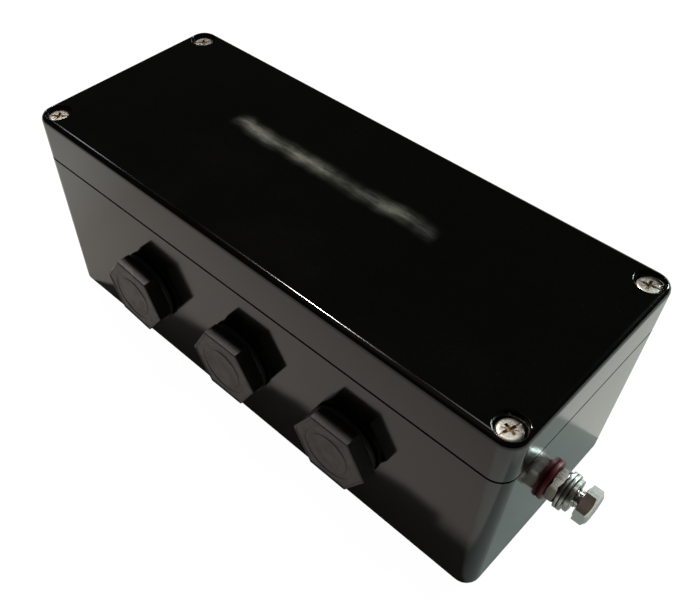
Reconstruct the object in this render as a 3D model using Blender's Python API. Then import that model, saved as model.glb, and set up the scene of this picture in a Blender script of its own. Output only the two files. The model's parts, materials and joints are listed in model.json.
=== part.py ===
"""Junction box of glass-filled polyester: a deep base, a lid held by four captive screws,
three hexagonal stopping plugs in the front wall, an external earth bolt in the end wall,
and a rail with terminals inside. Metres, +Z up, origin at the centre of the underside."""
import math

import bmesh
import bpy
from mathutils import Matrix, Vector

MM = 0.001
TURN = 2.0 * math.pi

# ---- Enclosure ----------------------------------------------------------------
BOX_LENGTH = 190.0 * MM
BOX_WIDTH = 75.0 * MM
BOX_HEIGHT = 75.0 * MM
LID_HEIGHT = 16.3 * MM
PARTING_GAP = 0.4 * MM
CORNER_RADIUS = 5.7 * MM
TOP_EDGE_RADIUS = 2.1 * MM
BOTTOM_EDGE_RADIUS = 1.2 * MM
WALL_DRAFT = 0.010
WALL_THICKNESS = 4.5 * MM
FLOOR_THICKNESS = 4.0 * MM
ROOF_THICKNESS = 3.5 * MM
INNER_RADIUS = 2.5 * MM

# ---- Clearances ---------------------------------------------------------------
CLEAR = 0.3 * MM
STACK_GAP = 0.2 * MM

# ---- Seal between lid and base ------------------------------------------------
SEAL_INSET = 3.0 * MM
TONGUE_WIDTH = 1.4 * MM
TONGUE_HEIGHT = 1.8 * MM
GROOVE_WIDTH = 2.8 * MM
GROOVE_DEPTH = 3.4 * MM
LIP_WIDTH = 1.6 * MM

# ---- Lid screws and their brass inserts ---------------------------------------
SCREW_INSET = 5.7 * MM
SCREW_SHANK_RADIUS = 2.0 * MM
SCREW_LENGTH = 20.0 * MM
SCREW_HEAD_RADIUS = 3.5 * MM
SCREW_HEAD_HEIGHT = 2.6 * MM
SCREW_HEAD_DEPTH = 1.5 * MM
COUNTERBORE_CLEARANCE = 0.75 * MM
COUNTERBORE_CHAMFER = 0.4 * MM
SCREW_WEB = 2.0 * MM
RETAINER_RIM = 1.2 * MM
RETAINER_THICKNESS = 1.0 * MM
INSERT_WALL = 0.5 * MM
INSERT_LENGTH = 8.0 * MM
INSERT_SINK = 0.4 * MM
DRIVE_ANGLES = (38.0, 72.0, 8.0, 55.0)

# ---- Holes that fasten the box to a wall --------------------------------------
FIXING_INSET_X = 6.4 * MM
FIXING_SPACING_Y = 45.0 * MM
FIXING_HOLE_RADIUS = 2.3 * MM
FIXING_WELL_RADIUS = 3.8 * MM
FIXING_LEDGE = 6.0 * MM
BOSS_WALL = 3.4 * MM

# ---- Stopping plugs -----------------------------------------------------------
PLUG_COUNT = 3
PLUG_PITCH = 45.0 * MM
PLUG_HEIGHT = 28.6 * MM
PLUG_THREAD_RADIUS = 10.0 * MM
PLUG_THREAD_LENGTH = 12.5 * MM
PLUG_THREAD_WALL = 2.5 * MM
PLUG_FACE_THICKNESS = 3.0 * MM
PLUG_HEX_WALL = 2.0 * MM
PLUG_HEX_HEIGHT = 5.1 * MM
PLUG_HEX_CHAMFER = 0.9 * MM
PLUG_SEAL_WIDTH = 2.5 * MM
PLUG_SEAL_THICKNESS = 1.7 * MM
PLUG_ANGLES = (174.0, 181.0, 180.0)
LOCKNUT_WALL = 2.0 * MM
LOCKNUT_HEIGHT = 5.0 * MM

# ---- Earth bolt and the pieces threaded on it ---------------------------------
EARTH_Y = -4.8 * MM
EARTH_Z = 25.3 * MM
EARTH_SHANK_RADIUS = 3.0 * MM
EARTH_SHANK_LENGTH = 24.0 * MM
EARTH_HEX_WALL = 2.0 * MM
EARTH_HEAD_HEIGHT = 4.1 * MM
EARTH_HEX_CHAMFER = 0.5 * MM
FIBRE_WIDTH = 3.3 * MM
FIBRE_THICKNESS = 1.3 * MM
THIN_NUT_HEIGHT = 3.0 * MM
EARTH_WASHER_WIDTH = 2.7 * MM
EARTH_WASHER_THICKNESS = 1.0 * MM
SPRING_WIDTH = 1.9 * MM
SPRING_THICKNESS = 1.5 * MM
SPRING_SLOT = 1.2 * MM
EARTH_BARE_THREAD = 1.6 * MM
INSIDE_NUT_HEIGHT = 5.0 * MM
EARTH_NUT_ANGLE = 40.0
EARTH_HEAD_ANGLE = 42.0

# ---- Terminal rail ------------------------------------------------------------
RAIL_LENGTH = 152.0 * MM
RAIL_WIDTH = 35.0 * MM
RAIL_FLANGE = 4.0 * MM
RAIL_DEPTH = 7.5 * MM
RAIL_SHEET = 1.0 * MM
RAIL_POST_HEIGHT = 4.0 * MM
RAIL_POST_RADIUS = 6.0 * MM
RAIL_SCREW_X = 66.0 * MM
RAIL_SCREW_RADIUS = 2.0 * MM
RAIL_SCREW_LENGTH = 5.0 * MM
RAIL_SCREW_HEAD_RADIUS = 4.0 * MM
RAIL_SCREW_HEAD_HEIGHT = 2.4 * MM

# ---- Terminals ----------------------------------------------------------------
TERMINAL_COUNT = 4
TERMINAL_PITCH = 6.2 * MM
TERMINAL_OVERHANG = 3.5 * MM
TERMINAL_HEIGHT = 34.0 * MM
TERMINAL_SHOULDER = 24.0 * MM
TERMINAL_TOP_LENGTH = 24.0 * MM
TERMINAL_FOOT_REACH = 2.2 * MM
TERMINAL_FOOT_TOP = 3.0 * MM
TERMINAL_SCREW_STEP = 3.6 * MM
TERMINAL_SCREW_RADIUS = 1.8 * MM
TERMINAL_SCREW_LENGTH = 6.0 * MM
TERMINAL_WELL_DEPTH = 10.0 * MM
TERMINAL_ENTRY_WIDTH = 4.2 * MM
TERMINAL_ENTRY_HEIGHT = 5.0 * MM
TERMINAL_ENTRY_DEPTH = 7.0 * MM
TERMINAL_ENTRY_LEVEL = 12.0 * MM
TERMINAL_SCREW_SINK = 1.5 * MM
TERMINAL_BRIDGE_LENGTH = 8.0 * MM
TERMINAL_BRIDGE_WIDTH = 3.0 * MM
TERMINAL_BRIDGE_DEPTH = 5.0 * MM
END_PLATE_THICKNESS = 2.2 * MM
BRACKET_THICKNESS = 9.5 * MM
BRACKET_HEIGHT = 26.0 * MM


def wall_inset(level):
    """How far the drafted wall has moved inwards at a height."""
    return WALL_DRAFT * (BOX_HEIGHT - level)


# ---- Levels and faces that several pieces share -------------------------------
COUNTERBORE_RADIUS = SCREW_HEAD_RADIUS + COUNTERBORE_CLEARANCE
RETAINER_RADIUS = SCREW_SHANK_RADIUS + CLEAR + RETAINER_RIM
INSERT_RADIUS = SCREW_SHANK_RADIUS + CLEAR + INSERT_WALL
PLUG_BORE_RADIUS = PLUG_THREAD_RADIUS - PLUG_THREAD_WALL
PLUG_HEX_FLATS = 2 * (PLUG_THREAD_RADIUS + PLUG_HEX_WALL)
PLUG_SEAL_RADIUS = PLUG_THREAD_RADIUS + PLUG_SEAL_WIDTH
LOCKNUT_FLATS = 2 * (PLUG_THREAD_RADIUS + LOCKNUT_WALL)
EARTH_BORE_RADIUS = EARTH_SHANK_RADIUS + CLEAR
EARTH_HEX_FLATS = 2 * (EARTH_SHANK_RADIUS + EARTH_HEX_WALL)
FIBRE_RADIUS = EARTH_BORE_RADIUS + FIBRE_WIDTH
EARTH_WASHER_RADIUS = EARTH_BORE_RADIUS + EARTH_WASHER_WIDTH
SPRING_RADIUS = EARTH_BORE_RADIUS + SPRING_WIDTH
RAIL_CHANNEL = RAIL_WIDTH - 2 * RAIL_FLANGE
TERMINAL_LENGTH = RAIL_WIDTH + 2 * TERMINAL_OVERHANG
PARTING_LEVEL = BOX_HEIGHT - LID_HEIGHT
LID_UNDERSIDE = PARTING_LEVEL + PARTING_GAP
SCREW_X = BOX_LENGTH / 2 - SCREW_INSET
SCREW_Y = BOX_WIDTH / 2 - SCREW_INSET
FIXING_X = BOX_LENGTH / 2 - FIXING_INSET_X
FIXING_Y = FIXING_SPACING_Y / 2
HEAD_TOP = BOX_HEIGHT - SCREW_HEAD_DEPTH
HEAD_SEAT = HEAD_TOP - SCREW_HEAD_HEIGHT
POCKET_ROOF = HEAD_SEAT - CLEAR - SCREW_WEB
POCKET_RADIUS = RETAINER_RADIUS + CLEAR
PLUG_SEAL_BACK = BOX_WIDTH / 2 - wall_inset(PLUG_HEIGHT + PLUG_SEAL_RADIUS) + CLEAR
PLUG_HEX_BACK = PLUG_SEAL_BACK + PLUG_SEAL_THICKNESS + CLEAR
PLUG_TIP = PLUG_HEX_BACK - PLUG_THREAD_LENGTH
RAIL_Y = (BOX_WIDTH / 2 - WALL_THICKNESS - PLUG_TIP) / 2
RAIL_BASE = FLOOR_THICKNESS + RAIL_POST_HEIGHT + CLEAR
RAIL_TOP = RAIL_BASE + RAIL_DEPTH
CORNERS = ((-1, -1), (1, -1), (1, 1), (-1, 1))


# ---- Materials ----------------------------------------------------------------
def make_material(name, colour, roughness, metallic):
    material = bpy.data.materials.new(name)
    material.use_nodes = True
    shader = material.node_tree.nodes["Principled BSDF"]
    shader.inputs["Base Color"].default_value = (*colour, 1.0)
    shader.inputs["Roughness"].default_value = roughness
    shader.inputs["Metallic"].default_value = metallic
    return material


def make_materials():
    return {
        "polyester": make_material("black_polyester", (0.012, 0.012, 0.012), 0.12, 0.0),
        "plug": make_material("black_polyamide", (0.035, 0.034, 0.034), 0.45, 0.0),
        "seal": make_material("black_rubber", (0.02, 0.02, 0.02), 0.7, 0.0),
        "gasket": make_material("grey_foam", (0.25, 0.25, 0.26), 0.85, 0.0),
        "steel": make_material("nickel_steel", (0.62, 0.6, 0.57), 0.28, 1.0),
        "brass": make_material("brass", (0.75, 0.56, 0.24), 0.3, 1.0),
        "fibre": make_material("red_fibre", (0.22, 0.03, 0.035), 0.55, 0.0),
        "zinc": make_material("zinc_plate", (0.66, 0.67, 0.68), 0.35, 1.0),
        "grey": make_material("grey_polyamide", (0.42, 0.42, 0.4), 0.5, 0.0),
        "earth": make_material("green_yellow_polyamide", (0.2, 0.5, 0.08), 0.5, 0.0),
    }


# ---- Outlines and solids ------------------------------------------------------
def arc(centre, radius, start, end, steps):
    """Points along an arc, both ends included; the angles are in radians."""
    points = []
    for step in range(steps + 1):
        angle = start + (end - start) * step / steps
        points.append((centre[0] + radius * math.cos(angle), centre[1] + radius * math.sin(angle)))
    return points


def rounded_rectangle(length, width, radius, steps):
    outline = []
    for index, (side_x, side_y) in enumerate(((1, 1), (-1, 1), (-1, -1), (1, -1))):
        centre = (side_x * (length / 2 - radius), side_y * (width / 2 - radius))
        start = index * TURN / 4
        outline += arc(centre, radius, start, start + TURN / 4, steps)
    return outline


def seal_corners(shift):
    """Corners of the line the seal follows, moved inwards by shift.

    It runs close to the walls, and steps inwards round the screw corners."""
    reach_x = BOX_LENGTH / 2 - SEAL_INSET - shift
    reach_y = BOX_WIDTH / 2 - SEAL_INSET - shift
    beside_well = FIXING_X - FIXING_WELL_RADIUS - BOSS_WALL - GROOVE_WIDTH / 2
    below_well = FIXING_Y - FIXING_WELL_RADIUS - BOSS_WALL / 2 - GROOVE_WIDTH / 2
    step_x = beside_well - shift
    step_y = below_well - shift
    corners = []
    for side_x, side_y, forward in ((1, 1, True), (-1, 1, False), (-1, -1, True), (1, -1, False)):
        trio = [(reach_x, step_y), (step_x, step_y), (step_x, reach_y)]
        if not forward:
            trio.reverse()
        corners += [(side_x * x, side_y * y) for x, y in trio]
    return corners


def round_corners(corners, radius, steps):
    """Replace each corner of a closed, counter-clockwise polygon by an arc."""
    outline = []
    count = len(corners)
    for index in range(count):
        here = Vector(corners[index])
        before = (Vector(corners[index - 1]) - here).normalized()
        after = (Vector(corners[(index + 1) % count]) - here).normalized()
        half_angle = before.angle(after) / 2
        reach = radius / math.tan(half_angle)
        centre = here + (before + after).normalized() * (radius / math.sin(half_angle))
        first = here + before * reach - centre
        last = here + after * reach - centre
        for step in range(steps + 1):
            outline.append(tuple(centre + radius * first.slerp(last, step / steps)))
    return outline


def regular_outline(radius, count, angle=0.0):
    return [(radius * math.cos(angle + TURN * i / count), radius * math.sin(angle + TURN * i / count))
            for i in range(count)]


def hexagon(across_flats, angle_degrees=0.0):
    return regular_outline(across_flats / math.sqrt(3.0), 6, math.radians(angle_degrees))


def loft(rings):
    """A closed mesh through rings of equal point counts, the first and last ring filled."""
    mesh = bmesh.new()
    loops = [[mesh.verts.new(point) for point in ring] for ring in rings]
    count = len(rings[0])
    for lower, upper in zip(loops, loops[1:]):
        for i in range(count):
            j = (i + 1) % count
            mesh.faces.new((lower[i], lower[j], upper[j], upper[i]))
    mesh.faces.new(list(reversed(loops[0])))
    mesh.faces.new(loops[-1])
    return mesh


def prism(outline, low, high):
    return loft([[(x, y, z) for x, y in outline] for z in (low, high)])


def cylinder(radius, low, high, sides=24):
    return prism(regular_outline(radius, sides), low, high)


def turned(profile, sides=24):
    """Stack of discs along Z: profile lists (radius, z), lowest first."""
    return loft([[(x, y, z) for x, y in regular_outline(radius, sides)] for radius, z in profile])


def ring(outer, inner, low, high, sides=24):
    """A washer: two outlines bridged on all four sides."""
    mesh = bmesh.new()
    loops = []
    for radius, z in ((outer, low), (outer, high), (inner, high), (inner, low)):
        loops.append([mesh.verts.new((x, y, z)) for x, y in regular_outline(radius, sides)])
    bridge_rings(mesh, loops)
    return mesh


def bridge_rings(mesh, loops):
    """Join each loop to the next and the last to the first."""
    count = len(loops[0])
    for index, loop in enumerate(loops):
        following = loops[(index + 1) % len(loops)]
        for i in range(count):
            j = (i + 1) % count
            mesh.faces.new((loop[i], loop[j], following[j], following[i]))


def seal_ring(outer_shift, inner_shift, low, high):
    """A ring that follows the seal's line between two shifts from it."""
    mesh = bmesh.new()
    loops = []
    for shift, z in ((outer_shift, low), (outer_shift, high), (inner_shift, high), (inner_shift, low)):
        outline = round_corners(seal_corners(shift), INNER_RADIUS, 2)
        loops.append([mesh.verts.new((x, y, z)) for x, y in outline])
    bridge_rings(mesh, loops)
    return mesh


def box(low, high):
    outline = [(low[0], low[1]), (high[0], low[1]), (high[0], high[1]), (low[0], high[1])]
    return prism(outline, low[2], high[2])


def moved(mesh, offset):
    bmesh.ops.translate(mesh, verts=mesh.verts, vec=offset)
    return mesh


def turned_about(mesh, axis, degrees):
    bmesh.ops.rotate(mesh, verts=mesh.verts, matrix=Matrix.Rotation(math.radians(degrees), 3, axis))
    return mesh


# ---- Objects ------------------------------------------------------------------
def make_object(name, mesh, material):
    data = bpy.data.meshes.new(name)
    bmesh.ops.recalc_face_normals(mesh, faces=mesh.faces)
    mesh.to_mesh(data)
    mesh.free()
    data.shade_smooth()
    data.set_sharp_from_angle(angle=math.radians(32.0))
    if material is not None:
        data.materials.append(material)
    made = bpy.data.objects.new(name, data)
    bpy.context.scene.collection.objects.link(made)
    return made


def combine(target, meshes, operation):
    """Cut each mesh from the target, or join it on, and keep the plain result."""
    for mesh in meshes:
        tool = make_object("tool", mesh, None)
        modifier = target.modifiers.new("combine", "BOOLEAN")
        modifier.operation = operation
        modifier.solver = "EXACT"
        modifier.object = tool
        bpy.context.view_layer.update()
        evaluated = target.evaluated_get(bpy.context.evaluated_depsgraph_get())
        result = bpy.data.meshes.new_from_object(evaluated)
        target.modifiers.clear()
        spent = target.data
        target.data = result
        result.name = target.name
        bpy.data.meshes.remove(spent)
        bpy.data.objects.remove(tool)


def place(made, location, rotation=(0.0, 0.0, 0.0)):
    made.location = location
    made.rotation_euler = [math.radians(angle) for angle in rotation]


# ---- Enclosure base -----------------------------------------------------------
def shell_ring(level, extra_inset):
    inset = wall_inset(level) + extra_inset
    radius = max(CORNER_RADIUS - inset, 1.0 * MM)
    outline = rounded_rectangle(BOX_LENGTH - 2 * inset, BOX_WIDTH - 2 * inset, radius, 6)
    return [(x, y, level) for x, y in outline]


def edge_rings(level, radius, direction, steps):
    """Rings of a rounded outer edge; direction is +1 for the top edge and -1 for the bottom one."""
    rings = []
    for step in range(steps + 1):
        angle = TURN / 4 * step / steps
        rings.append(shell_ring(level - direction * radius * (1 - math.sin(angle)),
                                radius * (1 - math.cos(angle))))
    return rings


def plug_positions():
    middle = (PLUG_COUNT - 1) / 2
    return [(index - middle) * PLUG_PITCH for index in range(PLUG_COUNT)]


def along_y(mesh, x, z):
    """Turn a mesh made along +Z to run along -Y and move it to a place on the front wall."""
    turned_about(mesh, "X", 90.0)
    return moved(mesh, (x, 0.0, z))


def along_x(mesh, y, z):
    """Turn a mesh made along +Z to run along +X and move it to a place on the end wall."""
    turned_about(mesh, "Y", 90.0)
    return moved(mesh, (0.0, y, z))


def base_cutters():
    cavity = round_corners(seal_corners(WALL_THICKNESS - SEAL_INSET), INNER_RADIUS, 3)
    above = PARTING_LEVEL + 2 * TONGUE_HEIGHT
    cutters = [prism(cavity, FLOOR_THICKNESS, above)]
    insert_hole_depth = INSERT_LENGTH + INSERT_SINK + CLEAR
    tip_level = HEAD_SEAT - SCREW_LENGTH - 2 * MM
    for side_x, side_y in CORNERS:
        screw_place = (side_x * SCREW_X, side_y * SCREW_Y, 0.0)
        fixing_place = (side_x * FIXING_X, side_y * FIXING_Y, 0.0)
        insert_hole = turned([(SCREW_SHANK_RADIUS + CLEAR, tip_level),
                              (SCREW_SHANK_RADIUS + CLEAR, PARTING_LEVEL - insert_hole_depth),
                              (INSERT_RADIUS + CLEAR, PARTING_LEVEL - insert_hole_depth),
                              (INSERT_RADIUS + CLEAR, above)], 16)
        fixing_hole = turned([(FIXING_HOLE_RADIUS, -1 * MM),
                              (FIXING_HOLE_RADIUS, FIXING_LEDGE),
                              (FIXING_WELL_RADIUS, FIXING_LEDGE),
                              (FIXING_WELL_RADIUS, above)], 16)
        cutters += [moved(insert_hole, screw_place), moved(fixing_hole, fixing_place)]
    inner_face = BOX_WIDTH / 2 - WALL_THICKNESS - 1 * MM
    outer_face = BOX_WIDTH / 2 + 1 * MM
    for x in plug_positions():
        entry = cylinder(PLUG_THREAD_RADIUS + CLEAR, inner_face, outer_face, 32)
        cutters.append(along_y(entry, x, PLUG_HEIGHT))
    earth_hole = cylinder(EARTH_BORE_RADIUS, BOX_LENGTH / 2 - WALL_THICKNESS - 1 * MM,
                          BOX_LENGTH / 2 + 1 * MM, 16)
    cutters.append(along_x(earth_hole, EARTH_Y, EARTH_Z))
    return cutters


def rail_post_holes():
    post_top = FLOOR_THICKNESS + RAIL_POST_HEIGHT
    hole_floor = RAIL_BASE + RAIL_SHEET - RAIL_SCREW_LENGTH - CLEAR
    return [moved(cylinder(RAIL_SCREW_RADIUS + CLEAR, hole_floor, post_top + 1 * MM, 16),
                  (side * RAIL_SCREW_X, RAIL_Y, 0.0)) for side in (-1, 1)]


def make_base(material):
    rings = list(edge_rings(0.0, BOTTOM_EDGE_RADIUS, -1, 2))
    rings.reverse()
    rings.append(shell_ring(PARTING_LEVEL, 0.0))
    base = make_object("base_shell", loft(rings), material)
    combine(base, base_cutters(), "DIFFERENCE")
    post_top = FLOOR_THICKNESS + RAIL_POST_HEIGHT
    posts = [moved(cylinder(RAIL_POST_RADIUS, FLOOR_THICKNESS - 1 * MM, post_top, 20),
                   (side * RAIL_SCREW_X, RAIL_Y, 0.0)) for side in (-1, 1)]
    tongue = seal_ring(-TONGUE_WIDTH / 2, TONGUE_WIDTH / 2, PARTING_LEVEL - 1 * MM,
                       PARTING_LEVEL + TONGUE_HEIGHT)
    combine(base, posts + [tongue], "UNION")
    combine(base, rail_post_holes(), "DIFFERENCE")
    finish_shading(base)


def finish_shading(made):
    made.data.shade_smooth()
    made.data.set_sharp_from_angle(angle=math.radians(32.0))


def make_inserts(material):
    for index, (side_x, side_y) in enumerate(CORNERS, start=1):
        top = PARTING_LEVEL - INSERT_SINK
        sleeve = ring(INSERT_RADIUS, SCREW_SHANK_RADIUS + CLEAR, -INSERT_LENGTH, 0.0, 16)
        insert = make_object(f"lid_insert_{index}", sleeve, material)
        place(insert, (side_x * SCREW_X, side_y * SCREW_Y, top))


# ---- Lid ----------------------------------------------------------------------
def lid_cutters():
    below = LID_UNDERSIDE - 2 * MM
    cavity_shift = GROOVE_WIDTH / 2 + LIP_WIDTH
    cavity = round_corners(seal_corners(cavity_shift), INNER_RADIUS, 3)
    cutters = [prism(cavity, below, BOX_HEIGHT - ROOF_THICKNESS),
               seal_ring(-GROOVE_WIDTH / 2, GROOVE_WIDTH / 2, below, LID_UNDERSIDE + GROOVE_DEPTH)]
    for side_x, side_y in CORNERS:
        stepped_hole = turned([(POCKET_RADIUS, below),
                               (POCKET_RADIUS, POCKET_ROOF),
                               (SCREW_SHANK_RADIUS + CLEAR, POCKET_ROOF),
                               (SCREW_SHANK_RADIUS + CLEAR, HEAD_SEAT - CLEAR),
                               (COUNTERBORE_RADIUS, HEAD_SEAT - CLEAR),
                               (COUNTERBORE_RADIUS, BOX_HEIGHT - COUNTERBORE_CHAMFER),
                               (COUNTERBORE_RADIUS + 2 * COUNTERBORE_CHAMFER,
                                BOX_HEIGHT + COUNTERBORE_CHAMFER)], 20)
        cutters.append(moved(stepped_hole, (side_x * SCREW_X, side_y * SCREW_Y, 0.0)))
    return cutters


def make_lid(material):
    rings = [shell_ring(LID_UNDERSIDE, 0.0)] + edge_rings(BOX_HEIGHT, TOP_EDGE_RADIUS, 1, 4)
    lid = make_object("lid", loft(rings), material)
    combine(lid, lid_cutters(), "DIFFERENCE")
    finish_shading(lid)


def make_gasket(material):
    top = LID_UNDERSIDE + GROOVE_DEPTH - CLEAR
    low = PARTING_LEVEL + TONGUE_HEIGHT + CLEAR
    half_width = GROOVE_WIDTH / 2 - CLEAR
    make_object("lid_gasket", seal_ring(-half_width, half_width, low, top), material)


def drive_cutters():
    """A slot across the head and a deeper cross in its middle."""
    reach = SCREW_HEAD_RADIUS + 0.5 * MM
    top = 1.0 * MM
    return [box((-reach, -0.45 * MM, -0.8 * MM), (reach, 0.45 * MM, top)),
            box((-0.55 * MM, -2.0 * MM, -1.5 * MM), (0.55 * MM, 2.0 * MM, top)),
            box((-2.0 * MM, -0.55 * MM, -1.5 * MM), (2.0 * MM, 0.55 * MM, top))]


def make_lid_screws(steel, rubber):
    shoulder = 0.5 * MM
    for index, (side_x, side_y) in enumerate(CORNERS, start=1):
        profile = [(SCREW_SHANK_RADIUS, -SCREW_HEAD_HEIGHT - SCREW_LENGTH),
                   (SCREW_SHANK_RADIUS, -SCREW_HEAD_HEIGHT),
                   (SCREW_HEAD_RADIUS, -SCREW_HEAD_HEIGHT),
                   (SCREW_HEAD_RADIUS, -shoulder),
                   (SCREW_HEAD_RADIUS - shoulder, 0.0)]
        screw = make_object(f"lid_screw_{index}", turned(profile, 20), steel)
        combine(screw, drive_cutters(), "DIFFERENCE")
        finish_shading(screw)
        place(screw, (side_x * SCREW_X, side_y * SCREW_Y, HEAD_TOP), (0.0, 0.0, DRIVE_ANGLES[index - 1]))
        washer = ring(RETAINER_RADIUS, SCREW_SHANK_RADIUS + CLEAR, 0.0, RETAINER_THICKNESS, 20)
        retainer = make_object(f"screw_retainer_{index}", washer, rubber)
        place(retainer, (side_x * SCREW_X, side_y * SCREW_Y, LID_UNDERSIDE + CLEAR))


# ---- Stopping plugs -----------------------------------------------------------
def hex_head(across_flats, height, chamfer, angle):
    """A hexagonal prism from 0 to height, its outer edges chamfered at the top."""
    outer = hexagon(across_flats, angle)
    inner = hexagon(across_flats - 2 * chamfer, angle)
    return loft([[(x, y, 0.0) for x, y in outer],
                 [(x, y, height - chamfer) for x, y in outer],
                 [(x, y, height) for x, y in inner]])


def make_plugs(materials):
    nut_face = BOX_WIDTH / 2 - WALL_THICKNESS - CLEAR
    for index, x in enumerate(plug_positions(), start=1):
        head = hex_head(PLUG_HEX_FLATS, PLUG_HEX_HEIGHT, PLUG_HEX_CHAMFER, PLUG_ANGLES[index - 1])
        plug = make_object(f"stopping_plug_{index}", head, materials["plug"])
        thread = cylinder(PLUG_THREAD_RADIUS, -PLUG_THREAD_LENGTH, 1 * MM, 32)
        combine(plug, [thread], "UNION")
        bore_top = PLUG_HEX_HEIGHT - PLUG_FACE_THICKNESS
        combine(plug, [cylinder(PLUG_BORE_RADIUS, -PLUG_THREAD_LENGTH - 1 * MM, bore_top, 24)], "DIFFERENCE")
        finish_shading(plug)
        place(plug, (x, -PLUG_HEX_BACK, PLUG_HEIGHT), (90.0, 0.0, 0.0))
        seal_washer = ring(PLUG_SEAL_RADIUS, PLUG_THREAD_RADIUS + CLEAR, 0.0, PLUG_SEAL_THICKNESS, 32)
        seal = make_object(f"plug_seal_{index}", seal_washer, materials["seal"])
        place(seal, (x, -PLUG_SEAL_BACK, PLUG_HEIGHT), (90.0, 0.0, 0.0))
        nut = make_object(f"plug_locknut_{index}", prism(hexagon(LOCKNUT_FLATS), -LOCKNUT_HEIGHT, 0.0),
                          materials["plug"])
        bore = cylinder(PLUG_THREAD_RADIUS + CLEAR, -LOCKNUT_HEIGHT - 1 * MM, 1 * MM, 32)
        combine(nut, [bore], "DIFFERENCE")
        place(nut, (x, -nut_face, PLUG_HEIGHT), (90.0, 0.0, 0.0))


# ---- Earth bolt ---------------------------------------------------------------
def bored_hexagon(across_flats, height, angle):
    """A nut: an outline with a point on each corner and each flat, bridged to a bore of twelve sides."""
    corners = hexagon(across_flats, angle)
    outer = []
    for index, corner in enumerate(corners):
        following = corners[(index + 1) % 6]
        outer.append(corner)
        outer.append(((corner[0] + following[0]) / 2, (corner[1] + following[1]) / 2))
    inner = regular_outline(EARTH_BORE_RADIUS, 12, math.radians(angle))
    mesh = bmesh.new()
    loops = []
    for outline, z in ((outer, 0.0), (outer, height), (inner, height), (inner, 0.0)):
        loops.append([mesh.verts.new((x, y, z)) for x, y in outline])
    bridge_rings(mesh, loops)
    return mesh


def earth_stack(materials):
    """Pieces on the bolt outside the wall, from the wall outwards: name, mesh, thickness, material."""
    bore = EARTH_BORE_RADIUS
    spring = ring(SPRING_RADIUS, bore, 0.0, SPRING_THICKNESS, 24)
    return [
        ("earth_fibre_washer", ring(FIBRE_RADIUS, bore, 0.0, FIBRE_THICKNESS, 24), FIBRE_THICKNESS, "fibre"),
        ("earth_thin_nut", bored_hexagon(EARTH_HEX_FLATS, THIN_NUT_HEIGHT, EARTH_NUT_ANGLE),
         THIN_NUT_HEIGHT, "steel"),
        ("earth_washer_inner", ring(EARTH_WASHER_RADIUS, bore, 0.0, EARTH_WASHER_THICKNESS, 24),
         EARTH_WASHER_THICKNESS, "steel"),
        ("earth_washer_outer", ring(EARTH_WASHER_RADIUS, bore, 0.0, EARTH_WASHER_THICKNESS, 24),
         EARTH_WASHER_THICKNESS, "steel"),
        ("earth_spring_washer", spring, SPRING_THICKNESS, "steel"),
    ]


def make_earth_bolt(materials):
    wall_face = BOX_LENGTH / 2 - wall_inset(EARTH_Z + FIBRE_RADIUS)
    reach = wall_face + STACK_GAP
    for name, mesh, thickness, material in earth_stack(materials):
        piece = make_object(name, mesh, materials[material])
        if name == "earth_spring_washer":
            slot = box((0.0, -SPRING_SLOT / 2, -1 * MM),
                       (SPRING_RADIUS + 1 * MM, SPRING_SLOT / 2, SPRING_THICKNESS + 1 * MM))
            combine(piece, [slot], "DIFFERENCE")
            finish_shading(piece)
        place(piece, (reach, EARTH_Y, EARTH_Z), (0.0, 90.0, 0.0))
        reach += thickness + STACK_GAP
    head_back = reach + EARTH_BARE_THREAD
    head = hex_head(EARTH_HEX_FLATS, EARTH_HEAD_HEIGHT, EARTH_HEX_CHAMFER, EARTH_HEAD_ANGLE)
    bolt = make_object("earth_bolt", head, materials["steel"])
    combine(bolt, [cylinder(EARTH_SHANK_RADIUS, -EARTH_SHANK_LENGTH, 1 * MM, 20)], "UNION")
    finish_shading(bolt)
    place(bolt, (head_back, EARTH_Y, EARTH_Z), (0.0, 90.0, 0.0))
    inner_wall = BOX_LENGTH / 2 - WALL_THICKNESS
    washer_back = inner_wall - STACK_GAP - EARTH_WASHER_THICKNESS
    washer = ring(EARTH_WASHER_RADIUS, EARTH_BORE_RADIUS, 0.0, EARTH_WASHER_THICKNESS, 24)
    inside_washer = make_object("earth_inside_washer", washer, materials["steel"])
    place(inside_washer, (washer_back, EARTH_Y, EARTH_Z), (0.0, 90.0, 0.0))
    nut = bored_hexagon(EARTH_HEX_FLATS, INSIDE_NUT_HEIGHT, EARTH_NUT_ANGLE)
    inside_nut = make_object("earth_inside_nut", nut, materials["steel"])
    place(inside_nut, (washer_back - STACK_GAP - INSIDE_NUT_HEIGHT, EARTH_Y, EARTH_Z), (0.0, 90.0, 0.0))


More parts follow.
